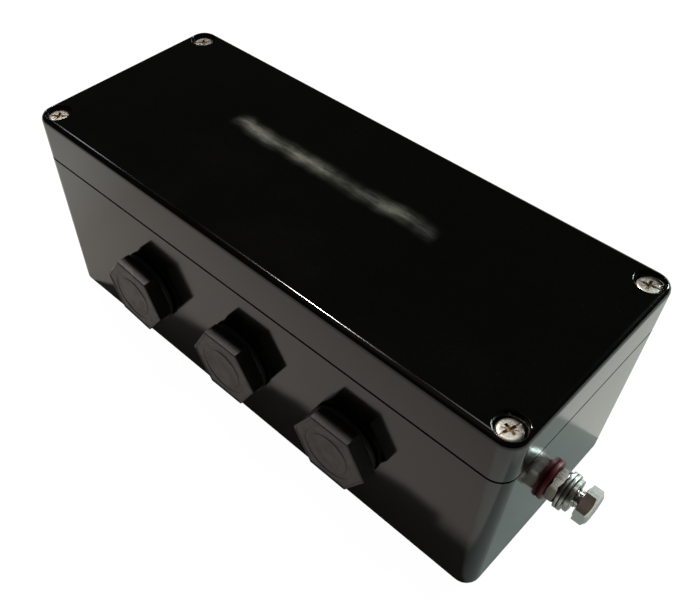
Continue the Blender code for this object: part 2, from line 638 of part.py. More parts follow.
# ---- Terminal rail ------------------------------------------------------------
def make_rail(materials):
    half_width = RAIL_WIDTH / 2
    half_channel = RAIL_CHANNEL / 2
    sheet = RAIL_SHEET
    section = [(-half_width, RAIL_DEPTH), (-half_width, RAIL_DEPTH - sheet),
               (-half_channel, RAIL_DEPTH - sheet), (-half_channel, 0.0),
               (half_channel, 0.0), (half_channel, RAIL_DEPTH - sheet),
               (half_width, RAIL_DEPTH - sheet), (half_width, RAIL_DEPTH),
               (half_channel - sheet, RAIL_DEPTH), (half_channel - sheet, sheet),
               (sheet - half_channel, sheet), (sheet - half_channel, RAIL_DEPTH)]
    mesh = loft([[(x, y, z) for y, z in section] for x in (-RAIL_LENGTH / 2, RAIL_LENGTH / 2)])
    rail = make_object("terminal_rail", mesh, materials["zinc"])
    holes = [moved(cylinder(RAIL_SCREW_RADIUS + CLEAR, -1 * MM, 2 * RAIL_SHEET, 16),
                   (side * RAIL_SCREW_X, 0.0, 0.0)) for side in (-1, 1)]
    combine(rail, holes, "DIFFERENCE")
    place(rail, (0.0, RAIL_Y, RAIL_BASE))
    for index, side in enumerate((-1, 1), start=1):
        profile = [(RAIL_SCREW_RADIUS, -RAIL_SCREW_LENGTH), (RAIL_SCREW_RADIUS, 0.0),
                   (RAIL_SCREW_HEAD_RADIUS, 0.0), (RAIL_SCREW_HEAD_RADIUS, 0.6 * RAIL_SCREW_HEAD_HEIGHT),
                   (0.6 * RAIL_SCREW_HEAD_RADIUS, RAIL_SCREW_HEAD_HEIGHT)]
        screw = make_object(f"rail_screw_{index}", turned(profile, 16), materials["zinc"])
        place(screw, (side * RAIL_SCREW_X, RAIL_Y, RAIL_BASE + RAIL_SHEET + CLEAR))


# ---- Terminals ----------------------------------------------------------------
def clip_outline(base_half, shoulder, top_half, height):
    """Side view, as (y, z) from the rail's top, of a piece that hooks round the rail's flanges."""
    flange = RAIL_WIDTH / 2 + CLEAR
    under = -RAIL_SHEET - CLEAR
    reach = TERMINAL_FOOT_REACH
    right = [(flange, CLEAR), (flange, under), (flange - reach, under), (flange - reach, under - reach),
             (flange + reach, under - reach), (flange + reach, TERMINAL_FOOT_TOP),
             (base_half, TERMINAL_FOOT_TOP), (base_half, shoulder), (top_half, shoulder), (top_half, height)]
    left = [(-y, z) for y, z in reversed(right)]
    return right + left


def clip_on_piece(outline, thickness):
    return loft([[(x, y, z) for y, z in outline] for x in (-thickness / 2, thickness / 2)])


def terminal_outline():
    return clip_outline(TERMINAL_LENGTH / 2, TERMINAL_SHOULDER, TERMINAL_TOP_LENGTH / 2, TERMINAL_HEIGHT)


def terminal_cutters():
    """Two screw wells, two wire entries and the slot for a cross-connector."""
    half_entry = TERMINAL_ENTRY_WIDTH / 2
    half_slot = (TERMINAL_BRIDGE_WIDTH / 2, TERMINAL_BRIDGE_LENGTH / 2)
    cutters = [box((-half_slot[0], -half_slot[1], TERMINAL_HEIGHT - TERMINAL_BRIDGE_DEPTH),
                   (half_slot[0], half_slot[1], TERMINAL_HEIGHT + 1 * MM))]
    for side in (-1, 1):
        well = cylinder(TERMINAL_SCREW_RADIUS + CLEAR, TERMINAL_SHOULDER - TERMINAL_WELL_DEPTH,
                        TERMINAL_SHOULDER + 1 * MM, 12)
        cutters.append(moved(well, (0.0, side * (TERMINAL_TOP_LENGTH / 2 + TERMINAL_SCREW_STEP), 0.0)))
        ends = sorted((side * (TERMINAL_LENGTH / 2 - TERMINAL_ENTRY_DEPTH),
                       side * (TERMINAL_LENGTH / 2 + 1 * MM)))
        cutters.append(box((-half_entry, ends[0], TERMINAL_ENTRY_LEVEL - TERMINAL_ENTRY_HEIGHT / 2),
                           (half_entry, ends[1], TERMINAL_ENTRY_LEVEL + TERMINAL_ENTRY_HEIGHT / 2)))
    return cutters


def make_terminal(name, x, housing, steel):
    body = make_object(name, clip_on_piece(terminal_outline(), TERMINAL_PITCH - CLEAR), housing)
    combine(body, terminal_cutters(), "DIFFERENCE")
    place(body, (x, RAIL_Y, RAIL_TOP))
    for side, end in ((-1, "front"), (1, "back")):
        screw = turned([(TERMINAL_SCREW_RADIUS, -TERMINAL_SCREW_LENGTH), (TERMINAL_SCREW_RADIUS, 0.0)], 12)
        clamp = make_object(f"{name}_screw_{end}", screw, steel)
        slot = box((-2 * TERMINAL_SCREW_RADIUS, -0.25 * MM, -0.8 * MM),
                   (2 * TERMINAL_SCREW_RADIUS, 0.25 * MM, 1 * MM))
        combine(clamp, [slot], "DIFFERENCE")
        place(clamp, (x, RAIL_Y + side * (TERMINAL_TOP_LENGTH / 2 + TERMINAL_SCREW_STEP),
                      RAIL_TOP + TERMINAL_SHOULDER - TERMINAL_SCREW_SINK))


def make_terminals(materials):
    """The row along the rail: a bracket, the feed-through terminals, an end plate,
    the earth terminal and a second bracket."""
    row = BRACKET_THICKNESS * 2 + TERMINAL_PITCH * (TERMINAL_COUNT + 1) + END_PLATE_THICKNESS + 3 * CLEAR
    edge = -row / 2
    bracket_outline = clip_outline(TERMINAL_LENGTH / 2 - 1 * MM, BRACKET_HEIGHT / 2,
                                   TERMINAL_LENGTH / 2 - 5 * MM, BRACKET_HEIGHT)
    for index in (1, 2):
        bracket = make_object(f"rail_bracket_{index}", clip_on_piece(bracket_outline, BRACKET_THICKNESS),
                              materials["grey"])
        side = -1 if index == 1 else 1
        place(bracket, (side * (row - BRACKET_THICKNESS) / 2, RAIL_Y, RAIL_TOP))
    edge += BRACKET_THICKNESS + CLEAR
    for index in range(1, TERMINAL_COUNT + 1):
        make_terminal(f"terminal_{index}", edge + TERMINAL_PITCH / 2, materials["grey"], materials["zinc"])
        edge += TERMINAL_PITCH
    plate = make_object("terminal_end_plate", clip_on_piece(terminal_outline(), END_PLATE_THICKNESS),
                        materials["grey"])
    place(plate, (edge + END_PLATE_THICKNESS / 2, RAIL_Y, RAIL_TOP))
    edge += END_PLATE_THICKNESS + CLEAR
    make_terminal("terminal_earth", edge + TERMINAL_PITCH / 2, materials["earth"], materials["zinc"])


def clear_scene():
    for existing in list(bpy.data.objects):
        bpy.data.objects.remove(existing)


def main():
    clear_scene()
    materials = make_materials()
    make_base(materials["polyester"])
    make_inserts(materials["brass"])
    make_lid(materials["polyester"])
    make_gasket(materials["gasket"])
    make_lid_screws(materials["steel"], materials["seal"])
    make_plugs(materials)
    make_earth_bolt(materials)
    make_rail(materials)
    make_terminals(materials)


main()
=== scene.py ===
"""Looks of the junction box: camera, studio, finishes, and the fine pieces that
stand for the plain CAD nodes. Metres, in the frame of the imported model."""
import math

import bmesh
import bpy
from mathutils import Matrix, Vector
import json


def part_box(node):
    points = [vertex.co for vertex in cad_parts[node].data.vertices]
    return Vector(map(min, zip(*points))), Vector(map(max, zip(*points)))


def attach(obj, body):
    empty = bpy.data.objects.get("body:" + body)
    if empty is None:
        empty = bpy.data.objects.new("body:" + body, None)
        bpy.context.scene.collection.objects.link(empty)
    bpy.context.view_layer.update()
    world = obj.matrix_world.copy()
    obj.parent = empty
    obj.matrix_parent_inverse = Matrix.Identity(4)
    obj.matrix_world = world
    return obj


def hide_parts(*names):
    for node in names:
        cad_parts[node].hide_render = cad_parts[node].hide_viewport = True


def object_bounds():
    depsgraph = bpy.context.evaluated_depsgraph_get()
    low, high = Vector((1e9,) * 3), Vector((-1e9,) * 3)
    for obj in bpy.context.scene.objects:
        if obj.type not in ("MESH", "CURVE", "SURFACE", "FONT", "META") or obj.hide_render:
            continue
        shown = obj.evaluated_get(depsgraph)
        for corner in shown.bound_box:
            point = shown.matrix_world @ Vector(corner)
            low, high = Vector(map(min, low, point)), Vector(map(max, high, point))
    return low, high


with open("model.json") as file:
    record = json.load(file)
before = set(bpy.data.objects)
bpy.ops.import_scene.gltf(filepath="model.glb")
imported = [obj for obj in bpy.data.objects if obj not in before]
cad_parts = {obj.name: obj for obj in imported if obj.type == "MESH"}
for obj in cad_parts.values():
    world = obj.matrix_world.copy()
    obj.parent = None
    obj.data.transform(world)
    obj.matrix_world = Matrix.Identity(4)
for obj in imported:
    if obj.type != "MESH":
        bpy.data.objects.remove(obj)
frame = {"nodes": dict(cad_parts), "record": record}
cad_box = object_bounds()

MM = 0.001
# The middle of each corner's rounding, where the lid screws stand.
CORNER_MIDDLE = (89.3 * MM, 31.8 * MM)

# ---- Studio -------------------------------------------------------------------
CAMERA_PLACE = Vector((0.129407, -0.139649, 0.229889))
CAMERA_RIGHT = Vector((0.7139, 0.7002, -0.0116))
CAMERA_UP = Vector((-0.5232, 0.5443, 0.6557))
CAMERA_LENS = 41.95
CAMERA_SHIFT = (0.0754, 0.0353)
FLOOR_SIZE = 12.0
FLOOR_LEVEL = -0.1 * MM
PAPER_GLOW = 1.1
PAPER_SHARE = 0.9
# The room as the soft light sees it, as the gloss mirrors it, and as the camera sees it.
SOFT_FILL = (0.065, 0.065, 0.062)
DARK_ROOM = (0.016, 0.016, 0.016)
BACKDROP = (1.0, 1.0, 1.0)
LID_EDGE = (-0.05, -0.05, 0.0)
END_WALL = (0.1, 0.0, 0.0)
# Name, place, aim, size, watts and colour.
STUDIO_LIGHTS = (
    ("key_light", (-0.356, 0.081, 0.8), LID_EDGE, (0.05, 0.05), 3.6, (1.0, 0.93, 0.885)),
    ("key_strip", (-0.356, 0.081, 0.801), LID_EDGE, (0.028, 0.14), 0.55, (1.0, 0.84, 0.87)),
    ("overhead_card", (-0.1, 0.36, 1.5), END_WALL, (0.50, 0.44), 1.7, (1.0, 0.98, 0.94)),
    ("back_card", (0.0, 1.5, 0.16), (0.1, 0.0, 0.03), (1.0, 0.3), 0.5, (0.9, 0.97, 1.0)),
    ("window_card", (0.57, 1.75, 0.85), END_WALL, (0.6, 0.6), 32.0, (0.74, 0.93, 0.94)),
    ("room_card", (-0.30, -0.75, 1.5), END_WALL, (1.0, 1.0), 0.3, (1.0, 0.72, 0.58)),
    ("edge_card", (-1.70, 0.16, 1.6), (0.0, 0.0, 0.0), (0.38, 0.14), 1.1, (0.85, 0.9, 1.0)),
)


def add_camera():
    """The camera that looks down on the front wall and the end wall with the earth bolt."""
    camera = bpy.data.cameras.new("studio_camera")
    camera.lens = CAMERA_LENS
    camera.shift_x, camera.shift_y = CAMERA_SHIFT
    camera.clip_start = 0.01
    camera.clip_end = 50.0
    holder = bpy.data.objects.new("studio_camera", camera)
    bpy.context.scene.collection.objects.link(holder)
    right = CAMERA_RIGHT.normalized()
    up = (CAMERA_UP - right * CAMERA_UP.dot(right)).normalized()
    back = right.cross(up)
    turn = Matrix((right, up, back)).transposed()
    holder.matrix_world = Matrix.Translation(CAMERA_PLACE) @ turn.to_4x4()
    bpy.context.scene.camera = holder


def add_soft_light(name, place, aim, size, watts, colour):
    """A rectangular soft light that faces the point aim."""
    lamp = bpy.data.lights.new(name, "AREA")
    lamp.shape = "RECTANGLE"
    lamp.size, lamp.size_y = size
    lamp.energy = watts
    lamp.color = colour
    holder = bpy.data.objects.new(name, lamp)
    bpy.context.scene.collection.objects.link(holder)
    facing = (Vector(aim) - Vector(place)).to_track_quat("-Z", "Y")
    holder.matrix_world = Matrix.Translation(place) @ facing.to_matrix().to_4x4()


# ---- Finishes -----------------------------------------------------------------
class Finish:
    """A material being put together: one Principled shader and the nodes that feed it."""

    def __init__(self, name, roughness=0.5, metallic=0.0, settings=()):
        self.material = bpy.data.materials.new(name)
        self.material.use_nodes = True
        self.tree = self.material.node_tree
        self.shader = self.tree.nodes["Principled BSDF"]
        self.shader.inputs["Roughness"].default_value = roughness
        self.shader.inputs["Metallic"].default_value = metallic
        for socket, value in settings:
            self.shader.inputs[socket].default_value = value
        self.place = self.node("ShaderNodeTexCoord").outputs["Object"]

    def node(self, kind, **values):
        made = self.tree.nodes.new(kind)
        for key, value in values.items():
            setattr(made, key, value)
        return made

    def link(self, source, target):
        self.tree.links.new(source, target)

    def axes(self):
        """The object's coordinates as three sockets."""
        split = self.node("ShaderNodeSeparateXYZ")
        self.link(self.place, split.inputs[0])
        return split.outputs

    def stretched(self, scale):
        """The object's coordinates, scaled differently along each axis."""
        mapping = self.node("ShaderNodeMapping")
        mapping.inputs["Scale"].default_value = scale
        self.link(self.place, mapping.inputs["Vector"])
        return mapping.outputs["Vector"]

    def noise(self, scale, detail=3.0, roughness=0.5, place=None, distortion=0.0):
        made = self.node("ShaderNodeTexNoise")
        made.inputs["Scale"].default_value = scale
        made.inputs["Detail"].default_value = detail
        made.inputs["Roughness"].default_value = roughness
        made.inputs["Distortion"].default_value = distortion
        self.link(place or self.place, made.inputs["Vector"])
        return made.outputs["Fac"]

    def specks(self, scale, size):
        """Small spots: 1 inside a spot and 0 outside."""
        made = self.node("ShaderNodeTexVoronoi")
        made.inputs["Scale"].default_value = scale
        self.link(self.place, made.inputs["Vector"])
        return self.remap(made.outputs["Distance"], size, 0.0, 0.0, 1.0)

    def remap(self, source, low, high, new_low, new_high):
        made = self.node("ShaderNodeMapRange")
        made.inputs["From Min"].default_value = min(low, high)
        made.inputs["From Max"].default_value = max(low, high)
        made.inputs["To Min"].default_value = new_low if low < high else new_high
        made.inputs["To Max"].default_value = new_high if low < high else new_low
        self.link(source, made.inputs["Value"])
        return made.outputs["Result"]

    def math(self, operation, first, second):
        made = self.node("ShaderNodeMath", operation=operation)
        for socket, value in zip(made.inputs, (first, second)):
            if isinstance(value, (int, float)):
                socket.default_value = value
            else:
                self.link(value, socket)
        return made.outputs["Value"]

    def product(self, first, second):
        return self.math("MULTIPLY", first, second)

    def mix(self, share, first, second):
        """A colour between two others; each may be a colour or a socket."""
        made = self.node("ShaderNodeMix", data_type="RGBA")
        self.link(share, made.inputs["Factor"])
        for socket, value in ((made.inputs[6], first), (made.inputs[7], second)):
            if isinstance(value, tuple):
                socket.default_value = (*value, 1.0)
            else:
                self.link(value, socket)
        return made.outputs[2]

    def edges(self, radius):
        """1 on sharp edges, falling to 0 at about the radius away from them."""
        soft = self.node("ShaderNodeBevel", samples=4)
        soft.inputs["Radius"].default_value = radius
        plain = self.node("ShaderNodeNewGeometry")
        likeness = self.node("ShaderNodeVectorMath", operation="DOT_PRODUCT")
        self.link(soft.outputs["Normal"], likeness.inputs[0])
        self.link(plain.outputs["Normal"], likeness.inputs[1])
        return self.remap(likeness.outputs["Value"], 0.99, 0.80, 0.0, 1.0)

    def colour(self, source):
        self.link(source, self.shader.inputs["Base Color"])

    def roughness(self, source):
        self.link(source, self.shader.inputs["Roughness"])

    def bump(self, height, depth):
        """Raises the surface by the height pattern times the depth, in metres."""
        made = self.node("ShaderNodeBump")
        made.inputs["Distance"].default_value = depth
        self.link(height, made.inputs["Height"])
        self.link(made.outputs["Normal"], self.shader.inputs["Normal"])


def gloss_polyester(name="gloss_polyester"):
    """Black pressed polyester: a deep gloss with faint ripples, smudges and dust."""
    finish = Finish(name, settings=(("IOR", 1.5),))
    cloudy = finish.noise(45.0, 4.0)
    dust = finish.product(finish.specks(900.0, 0.06), finish.remap(cloudy, 0.5, 0.7, 0.0, 1.0))
    body = finish.mix(finish.noise(1500.0, 2.0), (0.0010, 0.0010, 0.0008), (0.0026, 0.0025, 0.0019))
    finish.colour(finish.mix(dust, body, (0.10, 0.10, 0.09)))
    finish.roughness(finish.remap(cloudy, 0.35, 0.7, 0.085, 0.14))
    finish.bump(finish.noise(180.0, 2.0), 0.006 * MM)
    return finish


STREAK_MIDDLE = 6.2 * MM
STREAK_HALF_WIDTH = 4.8 * MM
STREAK_WANDER = 1.2 * MM
STREAK_START = (-45.0 * MM, -39.0 * MM)
STREAK_END = (30.0 * MM, 39.0 * MM)


def streaked_polyester():
    """The lid's gloss with a pale, hazy streak in its colour along the middle."""
    finish = gloss_polyester("streaked_polyester")
    along, across, _ = finish.axes()
    drift = finish.noise(60.0, 2.0, 0.5, finish.stretched((1.0, 0.0, 0.0)))
    wander = finish.remap(drift, 0.3, 0.7, -STREAK_WANDER, STREAK_WANDER)
    aside = finish.math("SUBTRACT", finish.math("SUBTRACT", across, STREAK_MIDDLE), wander)
    distance = finish.math("ABSOLUTE", aside, 0.0)
    band = finish.math("POWER", finish.remap(distance, 0.0, STREAK_HALF_WIDTH, 1.0, 0.0), 2.2)
    after_start = finish.remap(along, *STREAK_START, 0.0, 1.0)
    before_end = finish.remap(along, *STREAK_END, 1.0, 0.0)
    strokes = finish.noise(330.0, 5.0, 0.7, finish.stretched((0.45, 2.4, 1.0)), 0.5)
    gaps = finish.noise(75.0, 2.0, 0.5, finish.stretched((1.0, 0.4, 0.0)))
    patches = finish.remap(gaps, 0.38, 0.60, 0.30, 1.0)
    streak_marks = finish.product(finish.remap(strokes, 0.34, 0.66, 0.25, 1.0), patches)
    haze = finish.product(finish.product(band, finish.product(after_start, before_end)), streak_marks)
    plain = finish.shader.inputs["Base Color"].links[0].from_socket
    finish.colour(finish.mix(haze, plain, (0.24, 0.24, 0.20)))
    return finish.material


def satin_polyamide():
    """Black moulded polyamide: satin, finely grained, pinkish grey along its edges, partly as wear and
    partly as a painted highlight.
    """
    finish = Finish("satin_polyamide")
    grain = finish.noise(2600.0, 3.0, 0.7)
    mottle = finish.remap(finish.noise(900.0, 4.0, 0.7), 0.42, 0.62, 0.0, 1.0)
    body = finish.mix(finish.product(mottle, grain), (0.002, 0.0018, 0.0017), (0.022, 0.0185, 0.0165))
    # Pinkish grey on sharp edges: partly wear, partly a painted highlight.
    finish.colour(finish.mix(finish.edges(0.35 * MM), body, (0.09, 0.07, 0.07)))
    finish.roughness(finish.remap(finish.noise(300.0, 4.0), 0.3, 0.7, 0.34, 0.48))
    finish.bump(grain, 0.03 * MM)
    return finish.material


def seal_rubber():
    """Black rubber with a fine matt bloom."""
    finish = Finish("seal_rubber")
    bloom = finish.noise(700.0, 5.0, 0.6)
    finish.colour(finish.mix(bloom, (0.010, 0.010, 0.010), (0.026, 0.026, 0.026)))
    finish.roughness(finish.remap(bloom, 0.3, 0.7, 0.6, 0.85))
    finish.bump(finish.noise(3500.0, 2.0), 0.03 * MM)
    return finish.material


def gasket_foam():
    """Grey closed-cell foam: small open cells on its cut faces."""
    finish = Finish("gasket_foam", roughness=0.95)
    cells = finish.specks(2400.0, 0.5)
    finish.colour(finish.mix(cells, (0.25, 0.25, 0.26), (0.14, 0.14, 0.15)))
    finish.bump(cells, 0.15 * MM)
    return finish.material


# Over these levels of Y the nickel's side to the front turns dark brown: a painted dark reflection.
PAINTED_SHADE_SIDE = (-9.1 * MM, -8.2 * MM)


def bright_nickel(name="bright_nickel", front_shade=0.15, gloss=(0.14, 0.30)):
    """Nickel-plated steel: bright, faintly brushed, with brown spots and a painted dark reflection that
    browns its side to the front.
    """
    finish = Finish(name, metallic=1.0)
    brushed = finish.noise(350.0, 3.0, 0.5, finish.stretched((0.3, 2.0, 2.0)))
    # Painted dark reflection: the side to the front is darkened brown; the random spots are brown stains.
    front_shade_mask = finish.remap(finish.axes()["Y"], *PAINTED_SHADE_SIDE, front_shade, 0.0)
    spots = finish.remap(finish.noise(420.0, 5.0, 0.65), 0.52, 0.75, 0.0, 0.35)
    brown = finish.math("MAXIMUM", front_shade_mask, spots)
    finish.colour(finish.mix(brown, (0.70, 0.69, 0.65), (0.07, 0.055, 0.042)))
    finish.roughness(finish.remap(brushed, 0.3, 0.7, *gloss))
    finish.bump(brushed, 0.002 * MM)
    return finish.material


RECESS_STAIN = (72.7 * MM, 73.45 * MM)
RECESS_FLOOR = 71.7 * MM
RECESS_REACH = (2.2 * MM, 3.0 * MM)


def screw_steel():
    """Stainless screw heads: pressed and tumbled, greyish white, brown in the recesses."""
    finish = Finish("screw_steel", metallic=1.0)
    tumbled = finish.noise(1400.0, 4.0, 0.6)
    stain = finish.remap(finish.noise(700.0, 4.0, 0.6), 0.5, 0.72, 0.0, 1.0)
    x, y, z = finish.axes()
    aside = finish.math("SUBTRACT", finish.math("ABSOLUTE", x, 0.0), CORNER_MIDDLE[0])
    along = finish.math("SUBTRACT", finish.math("ABSOLUTE", y, 0.0), CORNER_MIDDLE[1])
    squares = finish.math("ADD", finish.product(aside, aside), finish.product(along, along))
    off_axis = finish.math("SQRT", squares, 0.0)
    below_face = finish.remap(z, *RECESS_STAIN, 1.0, 0.0)
    in_head = finish.math("GREATER_THAN", z, RECESS_FLOOR)
    near_axis = finish.remap(off_axis, *RECESS_REACH, 1.0, 0.0)
    sunk = finish.product(finish.product(below_face, in_head), near_axis)
    face = finish.mix(stain, (0.70, 0.67, 0.60), (0.42, 0.34, 0.25))
    finish.colour(finish.mix(sunk, face, (0.36, 0.24, 0.14)))
    finish.roughness(finish.remap(tumbled, 0.3, 0.7, 0.32, 0.50))
    finish.bump(tumbled, 0.06 * MM)
    return finish.material


def turned_brass():
    """Brass as it comes from the lathe, slightly oxidised."""
    finish = Finish("turned_brass", metallic=1.0)
    lines = finish.noise(500.0, 3.0, 0.6, finish.stretched((1.0, 1.0, 14.0)))
    finish.colour(finish.mix(finish.noise(300.0, 4.0), (0.72, 0.52, 0.22), (0.55, 0.36, 0.14)))
    finish.roughness(finish.remap(lines, 0.3, 0.7, 0.18, 0.4))
    finish.bump(lines, 0.02 * MM)
    return finish.material


def red_fibre():
    """Vulcanised fibre: dark red, layered across its thickness."""
    finish = Finish("red_fibre")
    layers = finish.noise(800.0, 4.0, 0.7, finish.stretched((6.0, 1.0, 1.0)))
    finish.colour(finish.mix(layers, (0.10, 0.006, 0.008), (0.24, 0.022, 0.024)))
    finish.roughness(finish.remap(layers, 0.3, 0.7, 0.35, 0.6))
    finish.bump(layers, 0.03 * MM)
    return finish.material


def zinc_steel():
    """Zinc-plated steel: pale, with a soft spangle and a blue cast."""
    finish = Finish("zinc_steel", metallic=1.0)
    spangle = finish.noise(350.0, 5.0, 0.6)
    finish.colour(finish.mix(spangle, (0.62, 0.64, 0.67), (0.74, 0.75, 0.74)))
    finish.roughness(finish.remap(finish.noise(1200.0, 3.0), 0.3, 0.7, 0.22, 0.42))
    finish.bump(spangle, 0.02 * MM)
    return finish.material


def moulded_housing(name, dark, light):
    """Terminal housing: matt moulded plastic with a fine spark-eroded grain."""
    finish = Finish(name)
    grain = finish.noise(3200.0, 2.0)
    tone = finish.mix(finish.noise(120.0, 3.0), dark, light)
    finish.colour(finish.mix(finish.edges(0.25 * MM), tone, tuple(min(1.0, 1.35 * c) for c in light)))
    finish.roughness(finish.remap(grain, 0.3, 0.7, 0.45, 0.65))
    finish.bump(grain, 0.04 * MM)
    return finish.material


def floor_paper():
    """Pale backdrop paper, evenly bright to the eye and matt to the things on it."""
    finish = Finish("floor_paper", roughness=0.9, settings=(("Specular IOR Level", 0.1),))
    fibres = finish.noise(220.0, 6.0, 0.6)
    finish.colour(finish.mix(fibres, (0.88, 0.865, 0.815), (0.92, 0.905, 0.855)))
    finish.bump(fibres, 0.03 * MM)
    glow = finish.node("ShaderNodeEmission")
    glow.inputs["Strength"].default_value = PAPER_GLOW
    in_sight = finish.node("ShaderNodeLightPath").outputs["Is Camera Ray"]
    blend = finish.node("ShaderNodeMixShader")
    finish.link(finish.product(in_sight, PAPER_SHARE), blend.inputs[0])
    finish.link(finish.shader.outputs[0], blend.inputs[1])
    finish.link(glow.outputs[0], blend.inputs[2])
    finish.link(blend.outputs[0], finish.tree.nodes["Material Output"].inputs["Surface"])
    return finish.material


def paint(node, material):
    """Gives a CAD node one finish."""
    mesh = frame["nodes"][node].data
    mesh.materials.clear()
    mesh.materials.append(material)


def paint_cad_nodes():
    """Every CAD node gets the finish of its material slot."""
    finishes = {
        "polyester": gloss_polyester().material,
        "polyamide": satin_polyamide(),
        "rubber_seal": seal_rubber(),
        "foam_gasket": gasket_foam(),
        "nickel_steel": bright_nickel(),
        "brass": turned_brass(),
        "red_fibre": red_fibre(),
        "zinc_steel": zinc_steel(),
        "terminal_housing": moulded_housing("grey_housing", (0.36, 0.36, 0.34), (0.45, 0.45, 0.42)),
        "earth_housing": moulded_housing("green_housing", (0.13, 0.40, 0.05), (0.20, 0.52, 0.08)),
    }
    for piece in frame["record"]["subparts"]:
        paint(piece["node"], finishes[piece["material_slot"]])
    return finishes


# ---- Geometry Nodes -----------------------------------------------------------
class Recipe:
    """A Geometry Nodes tree with named inputs that ends in plain, painted geometry."""

    def __init__(self, name, sizes):
        self.tree = bpy.data.node_groups.new(name, "GeometryNodeTree")
        face = self.tree.interface
        face.new_socket("Geometry", in_out="INPUT", socket_type="NodeSocketGeometry")
        for label in sizes:
            face.new_socket(label, in_out="INPUT", socket_type="NodeSocketFloat")
        face.new_socket("Finish", in_out="INPUT", socket_type="NodeSocketMaterial")
        face.new_socket("Geometry", in_out="OUTPUT", socket_type="NodeSocketGeometry")
        self.given = self.add("NodeGroupInput")

    def add(self, kind, *values, **settings):
        """A node; each value is a number, a tuple or a socket, in the order of its inputs."""
        node = self.tree.nodes.new(kind)
        for key, value in settings.items():
            setattr(node, key, value)
        shown = [socket for socket in node.inputs if socket.enabled]
        for socket, value in zip(shown, values):
            if value is None:
                continue
            if isinstance(value, bpy.types.NodeSocket):
                self.tree.links.new(value, socket)
            else:
                socket.default_value = value
        return node

    def size(self, label):
        return self.given.outputs[label]

    def math(self, operation, *values):
        return self.add("ShaderNodeMath", *values, operation=operation).outputs[0]

    def vector(self, x=0.0, y=0.0, z=0.0):
        return self.add("ShaderNodeCombineXYZ", x, y, z).outputs[0]

    def turned_face(self):
        """The points at the radius between the levels Low and High, their way outwards and their x, y, z."""
        x, y, z = self.add("ShaderNodeSeparateXYZ", self.add("GeometryNodeInputPosition").outputs[0]).outputs
        across = self.vector(x, y)
        reach = self.add("ShaderNodeVectorMath", across, operation="LENGTH").outputs["Value"]
        near = self.math("COMPARE", reach, self.size("Radius"), 0.02 * MM)
        above = self.math("GREATER_THAN", z, self.size("Low"))
        below = self.math("LESS_THAN", z, self.size("High"))
        chosen = self.math("MULTIPLY", self.math("MULTIPLY", near, above), below)
        outward = self.add("ShaderNodeVectorMath", across, operation="NORMALIZE").outputs[0]
        return chosen, outward, (x, y, z)

    def shifted(self, chosen, outward, distance):
        """The given geometry with its chosen points moved outwards."""
        step = self.add("ShaderNodeVectorMath", outward, operation="SCALE")
        self.tree.links.new(distance, step.inputs["Scale"])
        moved = self.add("GeometryNodeSetPosition", self.given.outputs[0], chosen, None, step.outputs[0])
        return moved.outputs[0]

    def finish(self, geometry):
        """Closes the tree: instances made real, and the finish set."""
        real = self.add("GeometryNodeRealizeInstances", geometry).outputs[0]
        painted = self.add("GeometryNodeSetMaterial", real)
        self.tree.links.new(self.size("Finish"), painted.inputs["Material"])
        self.add("NodeGroupOutput", painted.outputs[0])
        return self.tree


def thread_recipe():
    """Cuts a right-hand V thread into the turned surface of one radius, between two levels."""
    recipe = Recipe("cut_thread", ("Radius", "Pitch", "Depth", "Low", "High"))
    chosen, outward, (x, y, z) = recipe.turned_face()
    turn = recipe.math("DIVIDE", recipe.math("ARCTAN2", y, x), 2.0 * math.pi)
    phase = recipe.math("SUBTRACT", recipe.math("DIVIDE", z, recipe.size("Pitch")), turn)
    wave = recipe.math("MULTIPLY", recipe.math("PINGPONG", phase, 0.5), 2.0)
    inward = recipe.math("MULTIPLY", wave, recipe.size("Depth"))
    return recipe.finish(recipe.shifted(chosen, outward, recipe.math("MULTIPLY", inward, -1.0)))


def knurl_recipe():
    """Presses ribs round the turned surface of one radius, between two levels."""
    recipe = Recipe("press_knurl", ("Radius", "Ribs", "Depth", "Low", "High"))
    chosen, outward, (x, y, _) = recipe.turned_face()
    angle = recipe.math("MULTIPLY", recipe.math("ARCTAN2", y, x), recipe.size("Ribs"))
    wave = recipe.math("MULTIPLY", recipe.math("ADD", recipe.math("COSINE", angle), -1.0), 0.5)
    rib = recipe.math("MULTIPLY", wave, recipe.size("Depth"))
    return recipe.finish(recipe.shifted(chosen, outward, rib))


def drive_recipe():
    """Cuts a straight slot and a cross into a screw head whose face is at zero."""
    sizes = ["Angle"]
    for cut in ("Slot", "Cross"):
        sizes += [f"{cut} Width", f"{cut} Depth", f"{cut} Length"]
    recipe = Recipe("cut_drive", sizes)

    def bar(cut, turn):
        depth = recipe.math("MULTIPLY", recipe.size(f"{cut} Depth"), 2.0)
        sides = recipe.vector(recipe.size(f"{cut} Length"), recipe.size(f"{cut} Width"), depth)
        block = recipe.add("GeometryNodeMeshCube", sides).outputs[0]
        return recipe.add("GeometryNodeTransform", block, None, recipe.vector(z=turn)).outputs[0]

    angle = recipe.size("Angle")
    square = recipe.math("ADD", angle, math.pi / 2.0)
    result = recipe.given.outputs[0]
    for cutter in (bar("Slot", angle), bar("Cross", angle), bar("Cross", square)):
        node = recipe.add("GeometryNodeMeshBoolean", operation="DIFFERENCE", solver="EXACT")
        sockets = [socket for socket in node.inputs if socket.enabled and socket.type == "GEOMETRY"]
        recipe.tree.links.new(result, sockets[0])
        recipe.tree.links.new(cutter, sockets[1])
        result = node.outputs[0]
    return recipe.finish(result)


